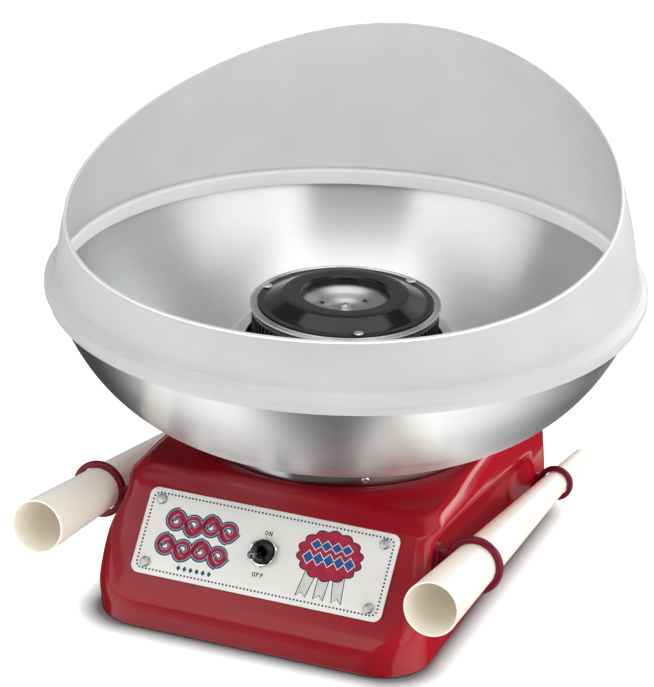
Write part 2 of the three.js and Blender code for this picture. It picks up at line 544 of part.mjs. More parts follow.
function addBase() {
  add('base_housing', baseHousing(), 'housing');
  add('bottom_cover', bottomCover(), 'nylon');
  for (const [n, x, y] of [['fl', -64, -100], ['fr', 64, -100], ['rl', -64, 76], ['rr', 64, 76]]) {
    add(`foot_${n}`, at(foot(), x, y, 0), 'rubber');
  }
  BOSS.forEach(([x, y], i) => add(`cover_screw_${i + 1}`, at(coverScrew(), x, y, 0), 'iron'));
  add('control_panel', controlPanel(), 'panel');
  rivetSpots().forEach(([x, u], i) => {
    add(`panel_rivet_${i + 1}`, onFace(at(panelRivet(), x, u, 0)), 'chrome');
  });
  add('switch_body', switchBody(), 'bakelite');
  add('switch_bushing', switchBushing(), 'black');
  add('switch_nut', switchNut(), 'chrome');
  add('switch_lever', switchLever(), 'chrome');
  add('seat_collar', seatCollar(), 'steel');
  THIRDS.forEach((d, i) => add(`collar_screw_${i + 1}`, collarScrew(d), 'chrome'));
  add('motor_pedestal', pedestal(), 'steel');
  add('cord_gland', cordGland(), 'nylon');
  add('terminal_block', terminalBlock(), 'bakelite');
}
function addMotor() {
  add('motor_stator', stator(), 'iron');
  add('stator_coil_upper', coilRing(58.3, 65), 'copper');
  add('stator_coil_lower', coilRing(29.6, 35.7), 'copper');
  add('motor_bridge_upper', motorBridge(), 'steel');
  add('motor_bridge_lower', lowerBridge(), 'steel');
  add('bearing_upper', bearing(66, 72, 9), 'brass');
  add('bearing_lower', bearing(24.5, 29.2, 7), 'brass');
  add('brush_block', brushBlock(), 'bakelite');
  add('brush_lower', brush(88), 'carbon');
  add('brush_upper', brush(99), 'carbon');
}
function addSpinner() {
  add('motor_shaft', shaft(), 'iron');
  add('motor_rotor', rotor(), 'iron');
  add('cooling_fan', fan(), 'nylon');
  add('slip_hub', slipHub(), 'bakelite');
  add('slip_ring_lower', slipRing(88), 'brass');
  add('slip_ring_upper', slipRing(99), 'brass');
  add('head_base', headBase(), 'steel');
  add('heater_drum', heaterDrum(), 'black');
  add('heater_ribbon', heaterRibbon(), 'iron');
  add('head_rim', headRim(), 'steel');
  add('head_cover', headCover(), 'black');
  add('sugar_plate', sugarPlate(), 'steel');
  add('head_screw', headScrew(), 'chrome');
  THIRDS.forEach((d, i) => add(`head_rivet_${i + 1}`,
    at(headRivet(), 45.4 * Math.cos(rad(d)), 45.4 * Math.sin(rad(d)), 0), 'chrome'));
}
function addTopAndCones() {
  add('bowl', bowl(), 'steel');
  add('splash_shield', splashShield(), 'frost');
  for (const [side, n] of [[-1, 'left'], [1, 'right']]) {
    add(`cone_${n}`, flipFix(cone(side)), 'ivory');
    RING_S.forEach((s, k) => add(`cone_ring_${k ? 'rear' : 'front'}_${n}`, coneRing(side, k), 'ring'));
  }
}
addBase();
addMotor();
addSpinner();
addTopAndCones();
export default group;
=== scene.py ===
import json
from math import (atan2, copysign, cos, dist, exp, hypot, log1p, pi, radians, sin, sqrt,
                  tan, tau)

import bmesh
import bpy
import numpy as np
from mathutils import Matrix, Vector
from mathutils.geometry import tessellate_polygon


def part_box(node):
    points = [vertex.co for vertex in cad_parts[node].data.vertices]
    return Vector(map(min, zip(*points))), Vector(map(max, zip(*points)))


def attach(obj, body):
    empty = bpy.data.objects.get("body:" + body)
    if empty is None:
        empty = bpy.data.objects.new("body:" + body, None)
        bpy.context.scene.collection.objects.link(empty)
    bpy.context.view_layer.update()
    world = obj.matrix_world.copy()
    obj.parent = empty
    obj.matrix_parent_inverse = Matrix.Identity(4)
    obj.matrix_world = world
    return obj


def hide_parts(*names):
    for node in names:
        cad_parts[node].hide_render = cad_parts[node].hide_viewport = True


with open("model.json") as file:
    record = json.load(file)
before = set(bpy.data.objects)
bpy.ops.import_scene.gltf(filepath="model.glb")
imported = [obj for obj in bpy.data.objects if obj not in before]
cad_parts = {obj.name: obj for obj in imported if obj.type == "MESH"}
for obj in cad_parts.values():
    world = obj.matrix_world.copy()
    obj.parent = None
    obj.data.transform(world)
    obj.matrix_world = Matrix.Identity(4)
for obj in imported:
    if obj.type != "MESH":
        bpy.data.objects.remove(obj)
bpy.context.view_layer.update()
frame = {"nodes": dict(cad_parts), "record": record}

MM = 0.001


# ---- numbers read from the frame, in millimetres ----
def mm_box(node):
    lo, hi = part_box(node)
    return Vector(lo) * 1000, Vector(hi) * 1000


def joint_axis(name):
    for joint in frame["record"]["behaviour"]["joints"]:
        if joint["name"] == name:
            return Vector(joint["axis"]).normalized()
    raise ValueError(name)


BASE_LO, BASE_HI = mm_box("base_housing")
HALF_W, FRONT, REAR = BASE_HI.x, BASE_LO.y, BASE_HI.y
SKIRT_Z, DECK = BASE_LO.z, BASE_HI.z
PANEL_LO, PANEL_HI = mm_box("control_panel")

PANEL_T = 1.2            # panel thickness
GAP = 0.3                # running gap between neighbouring pieces
FACE = radians(51)       # slope of the front face
FACE_N = Vector((0, -sin(FACE), cos(FACE)))
FACE_U = Vector((0, cos(FACE), sin(FACE)))
PANEL_AT = (PANEL_LO + PANEL_HI) / 2 + FACE_N * PANEL_T / 2


def basis(x, y, z, at):
    m = Matrix((x, y, z)).transposed().to_4x4()
    m.translation = at
    return m


AXIS_X, AXIS_Y, AXIS_Z = Matrix.Identity(3)
FACE_M = basis(AXIS_X, FACE_U, FACE_N, PANEL_AT)


def between(a, b, t):
    """The point this part of the way from a to b, in plan."""
    return lerp(a[0], b[0], t), lerp(a[1], b[1], t)


def smooth(a, b, x):
    t = min(1.0, max(0.0, (x - a) / (b - a)))
    return t * t * (3 - 2 * t)


def lerp(a, b, t):
    return a + (b - a) * t


# ---- mesh helpers ----
def new_object(name, data):
    obj = bpy.data.objects.new(name, data)
    bpy.context.scene.collection.objects.link(obj)
    return obj


def mesh_piece(name, part, material, body, stands_for=(), place=None, sharp=40):
    """A (points in mm, faces) part as a piece that rides on a body and stands for CAD nodes."""
    verts, faces = part if place is None else moved(part, place)
    mesh = bpy.data.meshes.new(name)
    mesh.from_pydata([[c * MM for c in v] for v in verts], [], faces)
    tidy = bmesh.new()
    tidy.from_mesh(mesh)
    bmesh.ops.recalc_face_normals(tidy, faces=tidy.faces)
    tidy.to_mesh(mesh)
    tidy.free()
    mesh.shade_smooth()
    mesh.set_sharp_from_angle(angle=radians(sharp))
    mesh.materials.append(M[material])
    obj = new_object(name, mesh)
    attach(obj, body)
    if stands_for:
        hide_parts(*stands_for)
    return obj


def fillet(points, steps=5, closed=True):
    """Rounds the corners of a polyline: each point is (x, y) or (x, y, corner radius)."""
    out, n = [], len(points)
    for i, p in enumerate(points):
        if len(p) < 3 or (not closed and i in (0, n - 1)):
            out.append((p[0], p[1]))
            continue
        b = Vector(p[:2])
        u = Vector(points[i - 1][:2]) - b
        v = Vector(points[(i + 1) % n][:2]) - b
        half = u.angle(v) / 2
        t = min(p[2] / tan(half), 0.49 * u.length, 0.49 * v.length)
        u.normalize()
        v.normalize()
        r = t * tan(half)
        c = b + (u + v).normalized() * r / sin(half)
        s, e = b + u * t - c, b + v * t - c
        a0 = atan2(s.y, s.x)
        turn = (atan2(e.y, e.x) - a0 + pi) % tau - pi
        for k in range(steps + 1):
            a = a0 + turn * k / steps
            out.append((c.x + r * cos(a), c.y + r * sin(a)))
    return out


def revolve(profile, n):
    """Solid of revolution round Z from (radius, height) points; radius 0 makes a pole."""
    verts, rows, faces = [], [], []
    for r, z in profile:
        at, pole = len(verts), r < 1e-6
        rows.append([at] * n if pole else range(at, at + n))
        verts += [(0, 0, z)] if pole else circle(r, n, z)
    for a, b in zip(rows, rows[1:] + rows[:1]):
        for i in range(n):
            j = (i + 1) % n
            face = tuple(dict.fromkeys((a[i], a[j], b[j], b[i])))
            if len(face) > 2:
                faces.append(face)
    return verts, faces


def loft(rings, capped=False):
    """Rings of equal length joined side by side: the last joins the first, or both are capped."""
    n, verts, faces = len(rings[0]), [p for ring in rings for p in ring], []
    for k in range(len(rings) - 1 if capped else len(rings)):
        a, b = k * n, (k + 1) % len(rings) * n
        faces += [(a + i, a + (i + 1) % n, b + (i + 1) % n, b + i) for i in range(n)]
    if capped:
        faces += [tuple(range(n)), tuple(range(len(verts) - n, len(verts)))]
    return verts, faces


def merged(*parts):
    """Several (vertices, faces) pairs as one."""
    verts, faces = [], []
    for v, f in parts:
        o = len(verts)
        verts += list(v)
        faces += [tuple(i + o for i in face) for face in f]
    return verts, faces


def moved(part, matrix):
    return [matrix @ Vector(v) for v in part[0]], part[1]


def polar(radii, z, phase=0.0):
    """A ring from its radii at equal steps of angle."""
    turns = [tau * i / len(radii) + phase for i in range(len(radii))]
    return [(r * cos(a), r * sin(a), z) for r, a in zip(radii, turns)]


def circle(r, n, z=0.0, phase=0.0):
    return polar([r] * n, z, phase)


def box_centre(name):
    lo, hi = mm_box(name)
    return (lo + hi) / 2


def standing_at(name, up=0.0):
    """A frame in the middle of a node's box, this far above its foot."""
    lo, hi = mm_box(name)
    return Matrix.Translation(((lo.x + hi.x) / 2, (lo.y + hi.y) / 2, lo.z + up))


def rounded(corners, k, steps):
    """An outline of four quarter arcs, from the lower right one anticlockwise.

    A corner is (centre x, centre y, radius), and steps is the number of steps along each side.
    """
    arcs = [[(cx + r * cos(radians(a0 + 90 * i / k)), cy + r * sin(radians(a0 + 90 * i / k)))
             for i in range(k + 1)] for (cx, cy, r), a0 in zip(corners, (-90, 0, 90, 180))]
    out = []
    for arc, after, count in zip(arcs, arcs[1:] + arcs[:1], steps):
        out += arc + [between(arc[-1], after[0], i / count) for i in range(1, count)]
    return out


def round_rect(w, h, r, k, steps):
    x, y = w / 2 - r, h / 2 - r
    return rounded([(x, -y, r), (x, y, r), (-x, y, r), (-x, -y, r)], k, [steps] * 4)


def slab(outline, z0, z1):
    """A flat plate on an outline."""
    verts, faces = loft([[(x, y, z) for x, y in outline] for z in (z0, z1)], True)
    tris = tessellate_polygon([[Vector((x, y, 0)) for x, y in outline]])
    return verts, faces[:-2] + [tuple(cap[i] for i in t) for cap in faces[-2:] for t in tris]


def bar(x0, y0, x1, y1, z0, z1):
    """A slab on an upright rectangle."""
    return slab([(x0, y0), (x1, y0), (x1, y1), (x0, y1)], z0, z1)


def diamond(x, y, a, b, z):
    return slab([(x - a, y), (x, y - b), (x + a, y), (x, y + b)], 0, z)


def printed(name, part, material):
    """Ink that lies on the panel's face."""
    mesh_piece(name, part, material, "base", (), FACE_M)


def ribbon(points, widths, z0, z1):
    """A flat strip of changing width that follows a line."""
    rings = []
    for i, ((x, y), w) in enumerate(zip(points, widths)):
        a, b = points[max(0, i - 1)], points[min(len(points) - 1, i + 1)]
        dx, dy = b[0] - a[0], b[1] - a[1]
        k = w / 2 / (hypot(dx, dy) or 1.0)
        rings.append([(x - dy * k * side, y + dx * k * side, z)
                      for side, z in ((1, z0), (-1, z0), (-1, z1), (1, z1))])
    return loft(rings, True)


# ---- material helpers ----
def new_material(name, **fixed):
    """A Principled material, its tree and its shader's sockets, with the fixed values set."""
    mat = bpy.data.materials.new(name)
    mat.use_nodes = True
    bsdf = mat.node_tree.nodes["Principled BSDF"].inputs
    for key, value in fixed.items():
        bsdf[key.replace("_", " ")].default_value = value
    return mat, mat.node_tree, bsdf


def node(tree, kind, **inputs):
    """A shader node with its inputs set: a Value or a socket is linked, a number is stored."""
    n = tree.nodes.new("ShaderNode" + kind)
    for key, value in inputs.items():
        put(value, n.inputs[key.replace("_", " ")])
    return n


def put(value, sock):
    if isinstance(value, Value):
        value = value.socket
    if isinstance(value, bpy.types.NodeSocket):
        sock.id_data.links.new(value, sock)
    else:
        sock.default_value = value


class Value:
    """A number in a node tree, for plain arithmetic."""

    def __init__(self, socket):
        self.socket = socket

    def math(self, op, other=0.0):
        n = node(self.socket.id_data, "Math")
        n.operation = op
        put(self, n.inputs[0])
        put(other, n.inputs[1])
        return Value(n.outputs[0])

    def __add__(self, other):
        return self.math("ADD", other)

    def __sub__(self, other):
        return self.math("SUBTRACT", other)

    def __mul__(self, other):
        return self.math("MULTIPLY", other)

    def spread(self, lo, hi, low_at=0.3, high_at=0.7):
        """The stretch from low_at to high_at mapped to lo..hi, and held beyond it."""
        n = node(self.socket.id_data, "MapRange", Value=self, From_Min=low_at,
                 From_Max=high_at, To_Min=lo, To_Max=hi)
        return Value(n.outputs["Result"])


def place_coords(tree):
    return node(tree, "TexCoord").outputs["Object"]


def split_xyz(vector):
    n = node(vector.id_data, "SeparateXYZ", Vector=vector)
    return [Value(out) for out in n.outputs]


def root_sum(x, y):
    """The hypotenuse of two values; from X and Y it is the distance from the Z axis."""
    return (x * x + y * y).math("SQRT")


def noise(vector, size_mm, detail=3.0, rough=0.55):
    n = node(vector.id_data, "TexNoise", Vector=vector, Scale=1000.0 / size_mm, Detail=detail,
             Roughness=rough)
    return Value(n.outputs["Fac"])


def tint(fac, dark, light):
    n = node(fac.socket.id_data, "Mix", Factor=fac)
    n.data_type = "RGBA"
    n.inputs[6].default_value = (*dark, 1)
    n.inputs[7].default_value = (*light, 1)
    return n.outputs[2]


def relief(height, depth_mm):
    n = node(height.socket.id_data, "Bump", Height=height, Distance=depth_mm * MM)
    return n.outputs["Normal"]


def moulded(name, dark, light, rough, grain=0.7, depth=0.004, patch=18.0, **fixed):
    """Painted, moulded or cast surface: soft colour patches, uneven gloss and fine relief."""
    mat, tree, bsdf = new_material(name, **fixed)
    at = place_coords(tree)
    broad, fine = noise(at, patch, 2.0), noise(at, grain, 4.0)
    put(tint(broad.spread(0, 1), dark, light), bsdf["Base Color"])
    put((broad * 0.6 + fine * 0.4).spread(*rough, 0.35, 0.65), bsdf["Roughness"])
    bump = relief(fine, depth)
    put(bump, bsdf["Normal"])
    if "Coat_Weight" in fixed:
        put(bump, bsdf["Coat Normal"])
    return mat


def metal(*look):
    return moulded(*look, Metallic=1.0)


def ink(name, dark, light):
    """Printed ink, slightly uneven."""
    return moulded(name, dark, light, (.45, .55), 0.4, .002, 5, Specular_IOR_Level=.25)


def turned(name, dark, light, rough, pitch=0.35, depth=0.0012, aniso=0.75, **fixed):
    """Spun or turned metal: rings round Z in its colour, gloss and relief."""
    mat, tree, bsdf = new_material(name, Metallic=1.0, Anisotropic=aniso,
                                   Anisotropic_Rotation=.25, **fixed)
    at = place_coords(tree)
    x, y, z = split_xyz(at)
    line = node(tree, "CombineXYZ", X=root_sum(x, y) - z).outputs[0]
    rings, bands, cloud = noise(line, pitch, 3.0, 0.7), noise(line, 6.0, 2.0), noise(at, 22.0, 2.0)
    mix = rings * 0.6 + bands * 0.4
    put(tint(mix.spread(0, 1), dark, light), bsdf["Base Color"])
    put((mix * 0.7 + cloud * 0.3).spread(*rough), bsdf["Roughness"])
    put(relief(rings, depth), bsdf["Normal"])
    tangent = node(tree, "Tangent")
    tangent.direction_type, tangent.axis = "RADIAL", "Z"
    put(tangent.outputs[0], bsdf["Tangent"])
    return mat


LIP_R, LIP_TOP = (.1548, .1552), (.1640, .1655)     # edges of the solid lip, which carries a painted glow, in metres


def frosted(name, dark, light):
    """Frosted plastic that lets light through, except in the solid lip inside its flange, which has
    a painted glow instead.
    """
    mat = moulded(name, dark, light, (.40, .48), 0.5, .003, 30, IOR=1.3,
                  Emission_Color=(1, 1, 1, 1))
    bsdf = mat.node_tree.nodes["Principled BSDF"].inputs
    x, y, z = split_xyz(place_coords(mat.node_tree))
    lip = root_sum(x, y).spread(1, 0, *LIP_R) * z.spread(1, 0, *LIP_TOP)
    put(lip.spread(.5, 0, 0, 1), bsdf["Transmission Weight"])
    # painted light: the solid lip glows, to brighten the shade on the flange's inner face
    put(lip.spread(0, .16, 0, 1), bsdf["Emission Strength"])
    return mat


M = {
    "red": moulded("red_enamel", (.215, .0025, .008), (.250, .0035, .011), (.10, .15), 0.9, .0010,
                   60, Specular_IOR_Level=.33),
    "maroon": moulded("maroon_plastic", (.130, .002, .013), (.165, .0035, .018), (.16, .22), 0.6,
                      .002, 20, Specular_IOR_Level=.24),
    "panel": moulded("panel_enamel", (.67, .655, .625), (.72, .705, .675), (.30, .42), 0.5,
                     .002, 26, Coat_Weight=.25, Coat_Roughness=.12),
    "ink_teal": ink("ink_teal", (.003, .050, .075), (.008, .080, .105)),
    "ink_navy": ink("ink_navy", (.006, .030, .075), (.012, .045, .110)),
    "ink_blue": ink("ink_blue", (.006, .050, .200), (.014, .080, .280)),
    "ink_sky": ink("ink_sky", (.16, .36, .48), (.22, .44, .56)),
    "ink_red": ink("ink_red", (.25, .006, .028), (.36, .012, .045)),
    "ink_black": ink("ink_black", (.010, .010, .011), (.020, .020, .022)),
    "ink_grey": ink("ink_grey", (.50, .50, .50), (.60, .60, .59)),
    "bowl": turned("spun_steel", (.66, .665, .665), (.75, .755, .755), (.28, .35), depth=.0004,
                   aniso=.94),
    "collar": turned("turned_collar", (.26, .27, .28), (.38, .39, .40), (.14, .22), aniso=.5),
    "plate": turned("spun_plate", (.58, .585, .585), (.66, .665, .665), (.34, .44), 0.5, .0005),
    "rim": turned("rim_alloy", (.50, .505, .51), (.60, .605, .61), (.20, .30), 0.3, aniso=.5),
    "chrome": metal("chrome", (.62, .63, .65), (.72, .73, .75), (.05, .13), 0.8, .0006, 9),
    # the lever's chrome darkened in its colour: a painted reflection of dim surroundings
    "chrome_painted_dark": metal("chrome_painted_dark", (.13, .132, .135), (.18, .182, .185), (.05, .10), 0.8,
                         .0006, 9),
    "rivet": metal("rivet_alloy", (.66, .665, .67), (.78, .785, .79), (.30, .42), 0.5, .002, 4),
    # the panel rivets: the rivet alloy painted darker, as painted shade
    "panel_rivet_shaded": metal("rivet_alloy_shaded_dark", (.34, .345, .35), (.44, .445, .45), (.24, .34), 0.5, .002, 4),
    "gloss_black": moulded("black_enamel", (.003, .003, .0035), (.007, .007, .0075), (.10, .16),
                           0.8, .0012, 20, Specular_IOR_Level=.34),
    "satin_black": moulded("black_satin", (.005, .005, .0055), (.011, .011, .0115), (.30, .42),
                           0.5, .004, 8),
    "rubber": moulded("rubber", (.014, .014, .015), (.026, .026, .027), (.62, .78), 0.35, .012, 6),
    "nylon": moulded("black_nylon", (.014, .014, .016), (.028, .028, .030), (.42, .56), 0.45,
                     .008, 10),
    "bakelite": moulded("bakelite", (.028, .020, .016), (.045, .034, .027), (.34, .48), 0.6,
                        .004, 9),
    "iron": moulded("laminated_iron", (.20, .205, .21), (.32, .325, .33), (.38, .52), 0.4, .006, 7,
                    Metallic=.9),
    "copper": moulded("wound_copper", (.38, .13, .05), (.52, .20, .08), (.30, .44), 0.35, .03, 5,
                      Metallic=.9),
    "brass": metal("brass", (.48, .33, .11), (.62, .45, .17), (.22, .34), 0.5, .002, 8),
    "carbon": moulded("carbon", (.012, .012, .013), (.03, .03, .03), (.58, .72), 0.3, .01, 3),
    "zinc": metal("zinc_steel", (.40, .41, .42), (.54, .55, .56), (.26, .40), 0.5, .003, 12),
    # the cones' ivory plastic glows faintly warm: painted light that lifts the shade inside the
    # cones
    "ivory": moulded("ivory_plastic_painted_glow", (.76, .72, .64), (.80, .765, .69), (.28, .36), 0.8, .0008,
                     60, Emission_Color=(1, .87, .70, 1), Emission_Strength=.09),
    "frost": frosted("frosted_plastic_glowing_lip", (.72, .73, .735), (.76, .77, .775)),
    # paler than the frost: a painted highlight for the rim's bead
    "frost_rim_highlight": moulded("frosted_rim_highlight", (.80, .805, .81), (.84, .845, .85), (.30, .38), 0.5,
                          .001, 30),
}


# ---- base housing ----
SKIRT_BEND = 18.0        # fold between skirt and front face
DECK_BEND = 9.0          # fold between front face and deck
NECK_HOLE = 66.0         # radius of the hole in the deck
NECK_R = 77.5            # radius of the flat round it
DECK_DROP = 2.8          # how far the deck falls away from the neck
WALL = 2.6
SCOOP_R = 22.0           # scoop in each side, round the cone's axis
DECK_W, DECK_REAR = 81, 94           # half width and rear of the flat deck
SHOULDER_Z, SHOULDER_W = 62, 88.9    # height and half width where the sides round over
TOE = 1.2                # rounding of the skirt's lower edge


def face_y(z):
    """The front face lies just under the panel."""
    y0, z0 = PANEL_AT.y, PANEL_AT.z
    off = PANEL_T + GAP
    return y0 - FACE_N.y * off + (z - (z0 - FACE_N.z * off)) / tan(FACE)


def body_outline(w, yf, yr, rf, rr):
    corners = [(w - rf, yf + rf, rf), (w - rr, yr - rr, rr), (-w + rr, yr - rr, rr),
               (-w + rf, yf + rf, rf)]
    return rounded(corners, 14, (56, 20, 56, 32))


def cone_line(side):
    """Mouth centre and direction of a stored cone, from its box and its pull joint."""
    name = "right" if side > 0 else "left"
    d = -joint_axis("cone_%s_pull" % name)
    lo, hi = mm_box("cone_" + name)
    x = hi.x if side > 0 else lo.x
    spread_x, spread_y, spread_z = (CONE_R0 * sqrt(1 - c * c) for c in d)
    return Vector((x - side * spread_x, lo.y + spread_y, hi.z - spread_z)), d


CONE_R0, CONE_R1 = 14.4, 4.9
CONE_LINES = {side: cone_line(side) for side in (-1, 1)}
CONE_L = (mm_box("cone_right")[1].y - mm_box("cone_right")[0].y) / CONE_LINES[1][1].y - 2.6


def scoop(x, y, z, wall):
    """How far the side is pressed in beside the stored cone."""
    if abs(x) < 60:
        return 0.0
    c, d = CONE_LINES[1]
    run = (y - c.y) / d.y
    ax, az = c.x + d.x * run, c.z + d.z * run
    h = z - az
    if abs(h) >= SCOOP_R:
        return 0.0
    deep = wall - (ax - sqrt(SCOOP_R ** 2 - h * h))
    soft = 1.8 * log1p(exp(min(30.0, deep / 1.8)))
    return -copysign(soft, x) * smooth(-106, -82, y) * (1 - smooth(44, 66, y))


def neck_drop(x, y):
    return DECK_DROP * smooth(82, 98, hypot(x, y))


def section(z):
    """Half width, rear, corner radii and toe of the housing at a height."""
    skirt = min(1.0, (z - SKIRT_Z) / TOE)
    ease = 0.8 * (1 - sqrt(max(0.0, 1 - (1 - skirt) ** 2)))
    top = max(0.0, (z - SHOULDER_Z) / (DECK - SHOULDER_Z))
    arch = sqrt(max(0.0, 1 - top * top))
    up = min(1, max(0.0, (z - 11.2) / 51))
    w = DECK_W + (lerp(HALF_W, SHOULDER_W, up ** 1.6) - DECK_W) * arch - ease
    yr = DECK_REAR + (REAR - 0.02 * z - DECK_REAR) * arch - ease
    rf = 10 + 16.8 * (1 - smooth(4, 46, z)) ** 1.2
    return w, yr, rf, 20 + 4 * arch, ease


def housing_levels():
    """(height, front y) pairs up the housing: skirt, lower bend, front face, upper bend."""
    z_meet = (FRONT - face_y(0)) * tan(FACE)
    low = z_meet - SKIRT_BEND * tan((pi / 2 - FACE) / 2)
    levels = [(SKIRT_Z + TOE * (1 - cos(a)), FRONT) for a in (0, .35, .7, 1.05, pi / 2)]
    levels += [(lerp(SKIRT_Z + 1.4, low - .3, t), FRONT) for t in (0, .33, .66, 1)]
    for a in ((pi / 2 - FACE) * k / 14 for k in range(15)):
        levels.append((low + SKIRT_BEND * sin(a), FRONT + SKIRT_BEND * (1 - cos(a))))
    top = DECK - DECK_BEND * (1 - cos(FACE))
    heights = [lerp(levels[-1][0], top, k / 34) for k in range(1, 34)]
    levels += [(z, face_y(z)) for z in heights]
    yc = face_y(DECK) + DECK_BEND * tan(FACE / 2)
    for a in (FACE * (1 - k / 14) for k in range(15)):
        levels.append((DECK - DECK_BEND * (1 - cos(a)), yc - DECK_BEND * sin(a)))
    return levels


def housing_ring(z, yf, inset=0.0):
    w, yr, rf, rr, ease = section(z)
    lean = 1 / sin(FACE) if yf > FRONT + 4 else 1.0
    flat = body_outline(w - inset, yf + ease + inset * lean, yr - inset,
                        max(4, rf - inset), max(4, rr - inset))
    top = smooth(64, 73, z)
    return [(x + scoop(x, y, z, w), y, z - neck_drop(x, y) * top) for x, y in flat]


def to_circle(ring, r, z):
    """The ring's points moved in or out to one radius, at one height."""
    turns = [atan2(p[1], p[0]) for p in ring]
    return [(r * cos(a), r * sin(a), z) for a in turns]


def deck_rings(rim, count=9):
    """Rings across the deck from its edge to the neck."""
    neck, rings = to_circle(rim, NECK_R, DECK), []
    for k in range(1, count + 1):
        ring = [between(a, b, k / count) for a, b in zip(rim, neck)]
        rings.append([(x, y, DECK - neck_drop(x, y)) for x, y in ring])
    return rings


def build_housing():
    """A closed shell: up the outside, across the deck, down through the neck and the inside."""
    levels = housing_levels()
    outer = [housing_ring(z, y) for z, y in levels]
    rim, under = outer[-1], DECK - WALL
    neck = ((NECK_HOLE + .6, DECK), (NECK_HOLE, DECK - .6), (NECK_HOLE, under + .3),
            (NECK_HOLE + .4, under), (75, under))
    rings = outer + deck_rings(rim) + [to_circle(rim, r, z) for r, z in neck]
    inner = [[(x, y, SKIRT_Z) for x, y, _ in housing_ring(*levels[3], WALL)]]
    for z, y in levels[3:-1:2]:
        fall = WALL * smooth(50, DECK - 3, z)
        inner.append([(p[0], p[1], p[2] - fall) for p in housing_ring(z, y, WALL)])
    return mesh_piece("housing_shell", loft(rings + inner[::-1]), "red", "base",
                      ["base_housing"], sharp=60)


# ---- feet and screws ----
def screw_head(r, height, cross, n=48):
    """A domed screw head on z = 0 with a cross recess pressed into it."""
    rows = [(r * .98, 0.0), (r, height * .25)]
    rows += [(r * cos(t), height * (.25 + .75 * sin(t))) for t in (.45, .8, 1.05, 1.25)]
    verts = [p for rr, z in rows for p in circle(rr, n, z)]
    steps = (.60, .52, .44, .32, .20, .10)
    for s in steps:
        for x, y, _ in circle(r * s, n):
            arm, reach = sorted((abs(x), abs(y)))
            inside = smooth(cross * 1.25, cross * .8, arm) if arm > cross * .8 else 1.0
            deep = inside * .55 if reach < r * .52 else 0
            verts.append((x, y, height * (1 - .06 * s ** 2 - deep)))
    verts.append((0, 0, height * .42))
    last = (len(rows) + len(steps) - 1) * n
    faces = [(k + i, k + (i + 1) % n, k + n + (i + 1) % n, k + n + i)
             for k in range(0, last, n) for i in range(n)]
    faces += [(last + i, last + (i + 1) % n, last + n) for i in range(n)]
    faces.append(tuple(range(n - 1, -1, -1)))
    return verts, faces


def build_feet():
    profile = fillet([(0, 3.2), (8, 3.2, .5), (8, .2, .9), (6.6, 0, .4), (5.6, 0, .3),
                      (5.0, .8, .4), (0, .8)], 4, False)
    for name in ("foot_fl", "foot_fr", "foot_rl", "foot_rr"):
        mesh_piece("rubber_" + name, revolve(profile, 64), "rubber",
                   "base", [name], standing_at(name))


def build_cover_screws():
    head = moved(screw_head(3.0, 1.1, .5), Matrix.Rotation(pi, 4, "X"))
    shank = revolve([(0, 0), (1.5, 0), (1.5, 9.4), (1.2, 10.6), (0, 10.6)], 24)
    for k in range(1, 5):
        name = "cover_screw_%d" % k
        mesh_piece("plated_" + name, merged(head, shank), "zinc",
                   "base", [name], standing_at(name, 1.1))


# ---- control panel ----
PANEL_W = PANEL_HI.x - PANEL_LO.x
PANEL_H = 47.0
PRINT = 0.035            # thickness of the printed ink
BUSH_R = 5.95            # 15/32 inch bushing
LABEL_UP, LABEL_DOWN = 10.6, -12.0
RIVET_X, RIVET_U = 63.0, 17.25


def build_panel():
    """An enamelled plate with rolled edges and a hole for the bushing."""
    def ring(z, inset):
        w, h = PANEL_W - 2 * inset, PANEL_H - 2 * inset
        return [(x, y, z) for x, y in round_rect(w, h, 4.6 - inset, 12, 25)]

    low, hole = (to_circle(ring(0, 0), BUSH_R + .35, z) for z in (-PANEL_T, 0))
    mid = [[(*between(a, b, t), 0) for a, b in zip(ring(0, .4), hole)] for t in (.35, .7)]
    edge = ((-PANEL_T, .2), (-PANEL_T + .2, 0), (-.42, 0), (-.2, .06), (-.06, .2), (0, .42))
    rings = [low, *(ring(z, inset) for z, inset in edge), *mid, hole]
    mesh_piece("panel_plate", loft(rings), "panel",
               "base", ["control_panel"], FACE_M, sharp=50)


def build_rivets():
    profile = fillet([(0, GAP), (2.75, GAP, .1), (2.75, .9, .4), (2.2, 1.25, .8), (0, 1.48)], 6,
                     False)
    spots = [(x, u) for u in (RIVET_U, -RIVET_U) for x in (-RIVET_X, RIVET_X)]
    for k, (x, u) in enumerate(spots, 1):
        mesh_piece("rivet_%d" % k, revolve(profile, 56), "panel_rivet_shaded", "base",
                   ["panel_rivet_%d" % k], FACE_M @ Matrix.Translation((x, u, 0)))


def border_dots():
    """Two-tone printed dots in a line round the panel."""
    inset, pitch, r = 2.85, 2.0, .58
    path = round_rect(PANEL_W - 2 * inset, PANEL_H - 2 * inset, 3.4, 8, 61)
    path.append(path[0])
    lengths = np.cumsum([0] + [dist(a, b) for a, b in zip(path, path[1:])])
    count = round(lengths[-1] / pitch)
    at = np.arange(count) * lengths[-1] / count
    xs, ys = (np.interp(at, lengths, [p[k] for p in path]) for k in (0, 1))
    tones = ([], [])
    for i, (x, y) in enumerate(zip(xs, ys)):
        rings = [[(x + dx, y + dy, z) for dx, dy, z in circle(r, 10, z)] for z in (0, PRINT)]
        tones[i // 3 % 2].append(loft(rings, True))
    printed("border_dots_a", merged(*tones[0]), "ink_teal")
    printed("border_dots_b", merged(*tones[1]), "ink_navy")


def curl(cx, cy, r, start, turns, hand):
    """Points of a volute that winds in towards its centre."""
    out, steps = [], 44
    for k in range(steps + 1):
        a, rr = start + hand * turns * 6.283 * k / steps, r * (1 - .82 * k / steps)
        out.append((cx + rr * cos(a), cy + rr * sin(a)))
    return out


